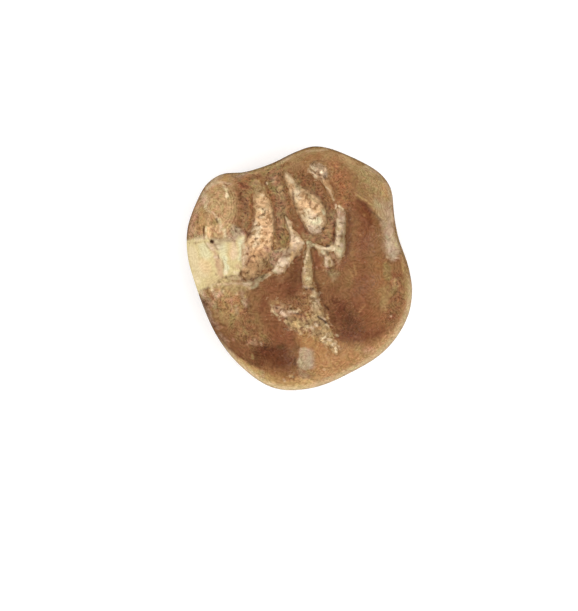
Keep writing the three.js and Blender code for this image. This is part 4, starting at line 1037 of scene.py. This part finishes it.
    ("pink cream", 0.4, CRISP, [(-482, -910, 11), (-477, -935, 11)]),
    ("rose tan", 0.45, SOFT, [(-644, -922, 20), (-544, -885, 20)]),
    ("deep umber", 0.5, CRISP, [(-519, -898, 10), (-512, -905, 10)]),
    ("black brown", 0.65, LINE, [(-439, -965, 10), (-415, -962, 10)]),
    ("olive tan", 0.8, CRISP, [(-592, -1067, 14), (-587, -1106, 15)]),
    ("dark olive", 0.35, SOFT, [(-544, -1034, 15), (-537, -1121, 17)]),
    ("dark olive", 0.55, SOFT, [(-270, -960, 20), (-208, -973, 20)]),
    ("black brown", 0.6, CRISP, [(-64, -1110, 10), (-59, -1185, 14)]),
    ("deep umber", 0.5, SOFT, [(-645, -1151, 15), (-545, -1184, 15)]),
    ("deep umber", 0.6, CRISP, [(-13, -966, 11), (-4, -971, 10)]),
    ("golden", 0.7, LINE, [(-127, -1351, 9), (-97, -1316, 11)]),
    ("deep umber", 0.65, CRISP, [(-85, -1336, 11), (-77, -1341, 10)]),
    ("pink cream", 0.6, CRISP, [(-197, -1376, 10), (-190, -1396, 10)]),
    ("grey green", 0.5, SOFT, [(-471, -1283, 20), (-458, -1358, 20)]),
    ("cream", 0.5, CRISP, [(-719, -1196, 13), (-595, -1296, 15), (-471, -1395, 14)]),
    ("cream", 0.5, CRISP, [(-396, -1415, 11), (-247, -1478, 13), (2, -1491, 10)]),
    # inside the painted highlight on the tongue side: a pale dot and a dark mark
    ("cream", 0.3, CRISP, [(-4, -1135, 10), (16, -1160, 10)]),
    ("dark olive", 0.4, LINE, [(41, -1165, 10), (61, -1162, 10)]),
    ("olive tan", 0.7, SOFT, [(115, -1272, 25), (190, -1309, 25)]),
    ("grey green", 0.55, CRISP, [(301, -1367, 11), (376, -1342, 11)]),
    ("cream", 0.4, LINE, [(297, -1247, 10), (309, -1252, 10)]),
    ("cream", 0.35, LINE, [(534, -1255, 10), (546, -1260, 10)]),
]

# Middles of the roots' broken canals: (x, y)
ROOT_CANALS = [(-0.7, 0.54), (0.66, 0.62), (0.02, -0.85)]
CANAL_RADIUS = 0.08
ROOT_TONE = "#a98a63"
NECK_TONE = "#6f5337"


def linear(hex_colour):
    """An sRGB hex colour as linear RGBA."""
    parts = [int(hex_colour[i : i + 2], 16) / 255 for i in (1, 3, 5)]
    return [p / 12.92 if p <= 0.04045 else ((p + 0.055) / 1.055) ** 2.4 for p in parts] + [1.0]


def blend(under, over, cover):
    """Two colours mixed at each point; a tone goes by its name or its hex value."""
    if isinstance(over, str):
        over = np.array(linear(TONES.get(over, over))[:3])
    cover = cover[:, None]
    return under * (1 - cover) + over * cover


def painted(x, y, colour, strokes):
    """The colour at each point after every stroke is laid over it in turn."""
    for tone, strength, edge, path in strokes:
        colour = blend(colour, tone, strength * inside(x, y, path, edge))
    return colour


# ---------------------------------------------------------------- the tooth's mesh

TOP_LEVEL = WIDEST_LEVEL - TONGUE_SIDE_DROP  # the chewing surface lies above it
TOP_CUTS = 4
SIDE_CUTS = 2
SMOOTHING_ROUNDS = 6
WALL_SMOOTHING_ROUNDS = 14
WALL_MARGIN = 0.05  # the walls' own smoothing stops this far from the neck and the chewing surface
ENDS_LEVEL = 0.02  # the broken ends below it aren't smoothed
MERGE_DISTANCE = 0.0005

NUDGE = 0.018  # unevenness of the strokes' edges
FINE_NUDGE = 0.012
MARKS_NUDGE = 0.25  # share of the nudge that the small marks get
WALL_FOLD = 0.7

# Heights of the grain on silt, on all enamel and on etched enamel, and of the roots' unevenness
SILT_GRAIN = 0.013
ENAMEL_GRAIN = 0.003
ETCHED_GRAIN = 0.006
ROOT_PITS = 0.014
ROOT_LUMPS = 0.02
ROOT_FURROWS = 0.012
BROKEN_END_RISE = 0.07


def fine_tooth(cad_node):
    """A copy of the CAD tooth, divided finely and smoothed, in millimetres."""
    bm = bmesh.new()
    bm.from_mesh(cad_node.data)
    bmesh.ops.scale(bm, vec=(1 / MM, 1 / MM, 1 / MM), verts=bm.verts)
    bmesh.ops.remove_doubles(bm, verts=bm.verts, dist=MERGE_DISTANCE)
    top = {e for f in bm.faces if f.calc_center_median().z > TOP_LEVEL for e in f.edges}
    sides = [e for e in bm.edges if e not in top]
    bmesh.ops.subdivide_edges(bm, edges=sides, cuts=SIDE_CUTS, use_grid_fill=True)
    bmesh.ops.subdivide_edges(bm, edges=[e for e in top if e.is_valid], cuts=TOP_CUTS, use_grid_fill=True)
    bmesh.ops.triangulate(bm, faces=bm.faces)
    above_ends = [v for v in bm.verts if v.co.z > ENDS_LEVEL]
    walls = [v for v in bm.verts if NECK_LEVEL + WALL_MARGIN < v.co.z < TOP_LEVEL - WALL_MARGIN]
    axes = {"use_axis_x": True, "use_axis_y": True, "use_axis_z": True}
    for verts, rounds in ((above_ends, SMOOTHING_ROUNDS), (walls, WALL_SMOOTHING_ROUNDS)):
        for _ in range(rounds):
            bmesh.ops.smooth_vert(bm, verts=verts, factor=0.5, **axes)
    mesh = bpy.data.meshes.new("fossil_tooth")
    bm.to_mesh(mesh)
    bm.free()
    return mesh


def vectors(mesh, name):
    """One of the mesh's own vectors, such as co or normal, as three arrays."""
    values = np.zeros(len(mesh.vertices) * 3)
    mesh.vertices.foreach_get(name, values)
    return values.reshape(-1, 3).T.copy()


def nudge(x, y, seed):
    """A small uneven shift; strokes drawn at shifted points get uneven edges."""
    return NUDGE * clouds(x, y, 0 * x, 0.09, seed) + FINE_NUDGE * clouds(x, y, 0 * x, 0.04, seed + 1)


mesh = fine_tooth(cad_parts["tooth"])
x, y, z = vectors(mesh, "co")
flat = 0 * x

# The crown's rim swells a little here and there
share = share_of_outline(x, y)
direction = np.degrees(np.arctan2(y, x))
near_rim = rising(share, 0.75, 0.25)
for middle, spread, swell in RIM_SWELLS:
    push = 1 + swell * near_rim * np.exp(-(((direction - middle) / spread) ** 2))
    x, y = x * push, y * push
edge_level = widest_level(x, y)
nudge_x, nudge_y = nudge(x, y, 3), nudge(x, y, 5)

# On the wall the strokes are drawn as though it were folded out flat; small marks keep crisper edges
fold = 1 + WALL_FOLD * np.clip(edge_level - z, 0, None)
sx, sy = x * fold + nudge_x, y * fold + nudge_y
mx, my = x + MARKS_NUDGE * nudge_x, y + MARKS_NUDGE * nudge_y

# Where the chewing surface, the silt, the dentine, the roots and the rough enamel are, from 0 to 1
on_top = rising(z - edge_level, 0.01, 0.06) * rising(1 - share, 0, 0.03)
fade = rising(1 - share, 0, 0.12)
z = z + on_top * (dome_height(x, y) + fade * relief(x, y, nudge_x, nudge_y) - z)
silt = flat
for _, _, softness, uneven, path in VALLEYS:
    cover = inside(x + uneven * nudge_x, y + uneven * nudge_y, path, softness)
    silt = np.maximum(silt, on_top * cover)
dentine = largest(sx, sy, DENTINE, DENTINE_EDGE) + 0.25 * clouds(x, y, flat, 0.05, 9)
dentine = rising(dentine, 0.25, 0.5) * rising(z, DENTINE_FOOT, 0.2)
root = 1 - rising(z + 0.03 * clouds(x, y, z, 0.2, 7), NECK_LEVEL, 0.03)
rugged = on_top * np.max([roughness * inside(sx, sy, path, BROAD) for roughness, path in RUGGED], axis=0)

# Silt stands in grains, dentine lies a little lower, and only the etched ridges of enamel are rough
z = z + SILT_GRAIN * silt * (clouds(x, y, flat, 0.038, 1) + 0.7 * clouds(x, y, flat, 0.08, 2))
z = z - dentine * on_top * DENTINE_DEPTH
z = z + (1 - silt) * on_top * (ENAMEL_GRAIN + ETCHED_GRAIN * rugged) * clouds(x, y, flat, 0.05, 8)
for depth, softness, path in PITS:
    z = z - on_top * depth * inside(mx, my, path, softness)

# The roots are pitted and furrowed, and their broken ends are uneven
furrows = clouds(x, y, z * 0.15, 0.06, 15)
rough = ROOT_PITS * clouds(x, y, z, 0.07, 13) + ROOT_LUMPS * clouds(x, y, z, 0.2, 14)
rough = rough + ROOT_FURROWS * furrows
x, y, z = np.stack([x, y, z]) + vectors(mesh, "normal") * root * rough * rising(z, 0, 0.1)
broken_end = 1 - rising(z, 0.03, 0.08)
z = z + BROKEN_END_RISE * broken_end * np.clip(clouds(x, y, flat, 0.12, 16) + 0.1, 0, 1)
mesh.vertices.foreach_set("co", (np.stack([x, y, z], 1) * MM).ravel())

# The chewing surface's colour, with painted light along its tongue-side edge and painted shade along its
# cheek and back edges
base = np.tile(linear(TONES["chestnut"])[:3], (len(x), 1))
painted_shade_side = rising(direction, 52, 12) + rising(-direction, 130, 20)
painted_light_side = rising(direction, -145, 20) * rising(-direction, -5, 20)
upper = rising(z - edge_level + 0.1 * clouds(x, y, z, 0.3, 17), -0.13, 0.16)
enamel = painted(sx, sy, base, ENAMEL)
enamel = blend(enamel, "cream", 0.5 * painted_light_side * rising(share, 0.94, 0.05) * upper)
enamel = blend(enamel, "dark olive", 0.25 * painted_shade_side * rising(share, 0.972, 0.02) * upper)

# The crown's walls: streaked and clouded, darker towards the neck
depth_down = (edge_level - z) / (WIDEST_LEVEL - NECK_LEVEL)
patches = clouds(x, y, z, 0.45, 10) + 0.6 * clouds(x, y, z, 0.17, 11)
streaks = clouds(x, y, z * 0.12, 0.07, 12)
wall = rising(edge_level - z + 0.03 * patches, 0, 0.25)
walls = blend(base, "ochre", rising(patches, -0.55, 1))
walls = blend(walls, "rust", 0.7 * rising(-patches, 0.1, 0.5))
walls = blend(walls, "sand", 0.45 * rising(streaks, 0.1, 0.3))
walls = blend(walls, "umber", 0.5 * rising(-streaks, 0.15, 0.3))
walls = blend(walls, "umber", 0.55 * rising(depth_down, 0.72, 0.25))
enamel = blend(enamel, walls, 0.9 * wall)
enamel = blend(enamel, painted(sx, sy, base, DENTINE_TONES), dentine)
enamel = blend(enamel, painted(mx, my, enamel, MARKS), rising(z - edge_level, -0.05, 0.05))

# The roots: stained and furrowed, with pale broken ends round dark canals
canals = flat
for root_x, root_y in ROOT_CANALS:
    canals = np.maximum(canals, 1 - rising(np.hypot(x - root_x, y - root_y), CANAL_RADIUS, 0.05))
stains = clouds(x, y, z, 0.25, 18) + 0.6 * clouds(x, y, z, 0.1, 19)
roots = blend(base, ROOT_TONE, flat + 1)
roots = blend(roots, "sand", 0.7 * rising(stains, 0.05, 0.4))
roots = blend(roots, "brown", 0.8 * rising(-stains, 0.05, 0.4))
roots = blend(roots, "umber", 0.5 * rising(-furrows, 0.1, 0.3))
roots = blend(roots, "yellow", 0.6 * broken_end)
roots = blend(roots, "deep umber", canals * broken_end)
enamel = blend(enamel, roots, root)
enamel = blend(enamel, NECK_TONE, 0.6 * np.exp(-(((z - NECK_LEVEL) / 0.03) ** 2)))

# Growth lines: how far along them each point is, and how clearly they show on the facet and the walls
facet = largest(sx, sy, FACET, BROAD) * on_top * (1 - silt)
facet = np.maximum(facet, 0.2 * wall * (1 - root))
growth = np.hypot((x - LINES_MIDDLE[0]) * LINES_SQUEEZE, y - LINES_MIDDLE[1])
growth = np.where(wall > 0.02, z * WALL_LINES_STRETCH, growth)

packed_silt = painted(mx, my, painted(sx, sy, base, SILT), MARKS)
for name, colour in (("tint", enamel), ("silt_tint", packed_silt)):
    layer = mesh.color_attributes.new(name, "FLOAT_COLOR", "POINT")
    layer.data.foreach_set("color", np.concatenate([colour, np.ones((len(x), 1))], 1).ravel())
for name, values in (
    ("pitted", np.max([fullness * inside(sx, sy, path, SOFT) for fullness, path in PITTED], axis=0)),
    ("silt", silt),
    ("dentine", np.maximum(dentine, root)),
    ("rugged", rugged),
    ("growth", growth),
    ("facet", facet),
):
    layer = mesh.attributes.new(name, "FLOAT", "POINT")
    layer.data.foreach_set("value", values)
mesh.polygons.foreach_set("use_smooth", np.ones(len(mesh.polygons), bool))
mesh.update()

tooth = bpy.data.objects.new("fossil_tooth", mesh)
bpy.context.scene.collection.objects.link(tooth)


# ---------------------------------------------------------------- the enamel's material


def add(tree, kind, settings=None, *sources, output=None, **named):
    """Adds a node and gives its sockets, in order or by name, a value or another node's output."""
    node = tree.nodes.new(kind)
    for key, value in (settings or {}).items():
        setattr(node, key, value)
    in_use = [socket for socket in node.inputs if socket.enabled]
    by_name = [(node.inputs[key.replace("_", " ")], value) for key, value in named.items()]
    for socket, value in list(zip(in_use, sources)) + by_name:
        if isinstance(value, bpy.types.NodeSocket):
            tree.links.new(value, socket)
        else:
            socket.default_value = value
    if output:
        return node.outputs[output]
    return next((socket for socket in node.outputs if socket.enabled), node)


ATTRIBUTE = "ShaderNodeAttribute"
NOISE = "ShaderNodeTexNoise"
MATH = "ShaderNodeMath"
RANGE = "ShaderNodeMapRange"
MIX = "ShaderNodeMix"
SUM = {"operation": "ADD"}
PRODUCT = {"operation": "MULTIPLY"}
GREATER = {"operation": "MAXIMUM"}
SINE = {"operation": "SINE"}
COLOUR = {"data_type": "RGBA"}
FILTER = {"data_type": "RGBA", "blend_type": "MULTIPLY"}

# Cloudy patterns: (size of a lump in millimetres, detail, roughness, distortion). Enamel's own weave of
# crossed prisms, a few micrometres wide, is too fine to show, so it is drawn as coarse as the mottle.
PATTERNS = {
    "mottle": (0.03, 2, 0.6, 0.6),
    "clumps": (0.066, 2, 0.6, 0),
    "slow cloud": (0.24, 1, 0.5, 0),
    "blotches": (0.07, 2, 0.6, 0),
    "specks": (0.05, 1, 0.5, 0.8),
    "grain": (0.06, 3, 0.6, 0.8),
    "holes": (0.06, 1, 0.5, 0.5),
    "lumps": (0.11, 2, 0.5, 1),
}
WAVES = 13  # contour lines drawn over the slow cloud's whole range
LINE_BEND = 9.0  # how far the slow cloud bends the growth lines, in radians
# Growth lines are about 0.03 mm apart in enamel, and drawn a little coarser so that they show
GROWTH_LINE_SPACING = 0.04

# What a tone is multiplied by: (warmer, greener) in the blotches
QUIET_HUES = ((1.05, 0.98, 0.93, 1), (0.97, 1.02, 0.87, 1))
LIVELY_HUES = ((1.14, 0.93, 0.9, 1), (0.9, 1.05, 0.82, 1))
SILT_HUES = ((1.03, 0.99, 0.97, 1), (1, 1.01, 0.95, 1))
DENTINE_HUE = (1, 1, 0.96, 1)
ENAMEL_STAIN = (1.04, 0.91, 0.82, 1)
SILT_STAIN = (1, 0.8, 0.58, 1)
BRIGHT_HUE = (0.98, 1.02, 1.08, 1)
BRIGHTNESS = 0.84  # suits the painted tones to the lights

ENAMEL_IOR = 1.6
MATT = 0.85  # roughness of silt, dentine and roots
# Heights of the bumps on smooth and etched enamel, of the silt's grain and of the growth lines
BUMP_HEIGHT = 0.0012
RUGGED_BUMP_HEIGHT = 0.003
GRAIN_HEIGHT = 0.02
RIPPLE_HEIGHT = 0.0015


def fossil_material():
    """Fossil enamel stained by minerals and polished by wear: a soft sheen over mottled brown.

    The silt, the dentine and the roots are matt, and the silt looks crumbly and full of small holes.
    """
    material = bpy.data.materials.new("glossy fossil enamel with matt silt")
    material.use_nodes = True
    tree = material.node_tree
    tree.nodes.clear()
    place = add(tree, "ShaderNodeTexCoord", output="Object")
    silt, dentine, rugged, pitted, growth, facet = [
        add(tree, ATTRIBUTE, {"attribute_name": name}, output="Fac")
        for name in ("silt", "dentine", "rugged", "pitted", "growth", "facet")
    ]
    tint, silt_tint = [add(tree, ATTRIBUTE, {"attribute_name": name}) for name in ("tint", "silt_tint")]
    pattern = {}
    for name, (size, detail, roughness, distortion) in PATTERNS.items():
        look = {"Scale": 1 / (size * MM), "Detail": detail, "Roughness": roughness, "Distortion": distortion}
        pattern[name] = add(tree, NOISE, None, place, **look)
    mottle = pattern["mottle"]
    grain = pattern["grain"]

    # The silt's edge is ragged
    ragged = add(tree, RANGE, None, pattern["clumps"], 0.3, 0.7, -0.35, 0.35)
    silt = add(tree, RANGE, None, add(tree, MATH, SUM, silt, ragged), 0.3, 0.7, 0, 1)

    # Enamel: a fine mottle crossed by wavy contours and clumps, growth lines, and specks where it is etched
    wobble = add(tree, MATH, SUM, pattern["slow cloud"], add(tree, MATH, PRODUCT, mottle, 0.04))
    waves = add(tree, MATH, SINE, add(tree, MATH, PRODUCT, wobble, 2 * math.pi * WAVES))
    phase = add(tree, MATH, PRODUCT, growth, 2 * math.pi / GROWTH_LINE_SPACING)
    phase = add(tree, MATH, SUM, phase, add(tree, MATH, PRODUCT, pattern["slow cloud"], LINE_BEND))
    lines = add(tree, MATH, PRODUCT, add(tree, MATH, SINE, phase), facet)
    texture = add(tree, RANGE, None, mottle, 0.3, 0.7, -1, 1)
    texture = add(tree, MATH, SUM, texture, add(tree, MATH, PRODUCT, waves, 0.5))
    clumps = add(tree, RANGE, None, pattern["clumps"], 0.3, 0.7, -1, 1)
    clumps = add(tree, MATH, PRODUCT, clumps, add(tree, MIX, None, rugged, 0.3, 0.8))
    texture = add(tree, MATH, SUM, texture, clumps)
    contrast = add(tree, MIX, None, dentine, add(tree, MIX, None, rugged, 0.22, 0.36), 0.13)
    specks = add(tree, RANGE, None, pattern["specks"], 0.3, 0.38, -1, 0)
    specks = add(tree, MATH, PRODUCT, specks, add(tree, MATH, PRODUCT, rugged, 0.3))
    enamel_shade = add(tree, MATH, PRODUCT, texture, contrast)
    enamel_shade = add(tree, MATH, SUM, enamel_shade, add(tree, MATH, PRODUCT, lines, 0.17))
    enamel_shade = add(tree, MATH, SUM, enamel_shade, specks)

    # Silt: crumbs, dark gaps between them, small holes and low lumps
    crumbs = add(tree, RANGE, None, grain, 0.44, 0.68, -0.02, 0.66)
    crumbs = add(tree, MATH, SUM, crumbs, add(tree, RANGE, None, grain, 0.3, 0.42, -0.26, 0))
    crumbs = add(tree, MATH, PRODUCT, crumbs, add(tree, MATH, SUM, pitted, 0.5))
    holes = add(tree, RANGE, None, pattern["holes"], 0.32, 0.42, -0.7, 0)
    holes = add(tree, MATH, PRODUCT, holes, pitted)
    lumps = add(tree, RANGE, None, pattern["lumps"], 0.35, 0.65, -0.16, 0.16)
    silt_shade = add(tree, MATH, SUM, add(tree, MATH, SUM, crumbs, holes), lumps)
    silt_shade = add(tree, MATH, GREATER, silt_shade, -0.45)

    shade = add(tree, MATH, SUM, add(tree, MIX, None, silt, enamel_shade, silt_shade), 1)
    deep = add(tree, RANGE, None, shade, 0.55, 1.1, 1, 0)
    shade = add(tree, MATH, PRODUCT, shade, BRIGHTNESS)
    bright = add(tree, MATH, PRODUCT, add(tree, RANGE, None, shade, 1.1, 1.5, 0, 1), silt)

    # Colour: the painted tone, warmer or greener in blotches, browner in its darks, whiter on bright crumbs
    blotch = add(tree, RANGE, None, pattern["blotches"], 0.35, 0.65, 0, 1)
    silt_hue = add(tree, MIX, COLOUR, blotch, *SILT_HUES)
    hue = [add(tree, MIX, COLOUR, blotch, *hues) for hues in (QUIET_HUES, LIVELY_HUES)]
    hue = add(tree, MIX, COLOUR, rugged, *hue)
    hue = add(tree, MIX, COLOUR, dentine, hue, DENTINE_HUE)
    hue = add(tree, MIX, COLOUR, silt, hue, silt_hue)
    colour = add(tree, MIX, FILTER, 1, add(tree, MIX, COLOUR, silt, tint, silt_tint), hue)
    stain = add(tree, MIX, COLOUR, silt, ENAMEL_STAIN, SILT_STAIN)
    for where, filtered in ((deep, stain), (bright, BRIGHT_HUE)):
        colour = add(tree, MIX, COLOUR, where, colour, add(tree, MIX, FILTER, 1, colour, filtered))
    colour = add(tree, "ShaderNodeVectorMath", {"operation": "SCALE"}, colour, shade)

    matt = add(tree, MATH, GREATER, silt, dentine)
    matt = add(tree, MATH, GREATER, matt, add(tree, MATH, PRODUCT, rugged, 0.12))
    polish = add(tree, RANGE, None, mottle, 0.3, 0.7, 0.18, 0.27)
    bumps = add(tree, MIX, None, rugged, BUMP_HEIGHT * MM, RUGGED_BUMP_HEIGHT * MM)
    bumps = add(tree, MATH, PRODUCT, texture, bumps)
    grains = add(tree, MATH, PRODUCT, add(tree, MATH, PRODUCT, silt_shade, silt), GRAIN_HEIGHT * MM)
    ripples = add(tree, MATH, PRODUCT, lines, RIPPLE_HEIGHT * MM)
    height = add(tree, MATH, SUM, add(tree, MATH, SUM, bumps, grains), ripples)
    shader = add(
        tree,
        "ShaderNodeBsdfPrincipled",
        IOR=ENAMEL_IOR,
        Base_Color=colour,
        Roughness=add(tree, MIX, None, matt, polish, MATT),
        Normal=add(tree, "ShaderNodeBump", Strength=1, Distance=1, Height=height),
    )
    add(tree, "ShaderNodeOutputMaterial", None, shader)
    return material


mesh.materials.append(fossil_material())
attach(tooth, "root")
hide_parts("tooth")

# ---------------------------------------------------------------- floor, lights and camera

FLOOR_HALF_WIDTH = 0.15  # metres

bm = bmesh.new()
bmesh.ops.create_grid(bm, x_segments=1, y_segments=1, size=FLOOR_HALF_WIDTH)
floor_mesh = bpy.data.meshes.new("floor")
bm.to_mesh(floor_mesh)
bm.free()
floor = bpy.data.objects.new("floor", floor_mesh)
floor.visible_glossy = False
bpy.context.scene.collection.objects.link(floor)

# Unprinted white paper is matt and even; it glows faintly here, so that it stays plain white under the tooth
paper = bpy.data.materials.new("white paper")
paper.use_nodes = True
for socket, value in (
    ("Base Color", linear("#ffffff")),
    ("Roughness", 0.9),
    ("Specular IOR Level", 0),
    ("Emission Color", linear("#ffffff")),
    ("Emission Strength", 0.1),
):
    paper.node_tree.nodes["Principled BSDF"].inputs[socket].default_value = value
floor_mesh.materials.append(paper)


LIGHTS_AIM = 1.2  # the height that the lights face


def softbox(name, azimuth, elevation, distance, size, power, mirrored):
    """A round area light that faces the tooth from a direction, in degrees, metres and watts."""
    light = bpy.data.lights.new(name, "AREA")
    light.shape = "DISK"
    light.size = size
    light.energy = power
    holder = bpy.data.objects.new(name, light)
    holder.visible_glossy = mirrored
    a, e = math.radians(azimuth), math.radians(elevation)
    aim = Vector((0, 0, LIGHTS_AIM * MM))
    direction = Vector((math.cos(e) * math.cos(a), math.cos(e) * math.sin(a), math.sin(e)))
    holder.location = aim + distance * direction
    holder.rotation_euler = (aim - holder.location).to_track_quat("-Z", "Y").to_euler()
    bpy.context.scene.collection.objects.link(holder)


softbox("overhead", -30, 80, 0.1, 0.06, 0.02, False)
softbox("tongue side lamp", -67, 30, 0.08, 0.02, 0.0015, True)
softbox("front lamp", 20, 50, 0.08, 0.024, 0.002, True)

world = bpy.data.worlds.new("studio")
bpy.context.scene.world = world
world.use_nodes = True
world.node_tree.nodes["Background"].inputs["Color"].default_value = linear("#ffffff")
world.node_tree.nodes["Background"].inputs["Strength"].default_value = 1.15
world.cycles_visibility.glossy = False
bpy.context.scene.view_settings.view_transform = "Standard"

# The picture's size and the tooth's middle in it, in pixels
PIXELS_PER_MM = 80
FRAME_WIDTH, FRAME_HEIGHT = 578, 611
TOOTH_X, TOOTH_Y = 299.75, 269.5

camera = bpy.data.cameras.new("camera")
camera.lens = 300
camera.sensor_width = 36
camera.sensor_fit = "HORIZONTAL"
camera.clip_start = MM
distance = camera.lens * (FRAME_WIDTH / PIXELS_PER_MM) / camera.sensor_width * MM
eye = bpy.data.objects.new("camera", camera)
eye.location = (
    (FRAME_WIDTH / 2 - TOOTH_X) / PIXELS_PER_MM * MM,
    (TOOTH_Y - FRAME_HEIGHT / 2) / PIXELS_PER_MM * MM,
    WIDEST_LEVEL * MM + distance,
)
bpy.context.scene.collection.objects.link(eye)
bpy.context.scene.camera = eye
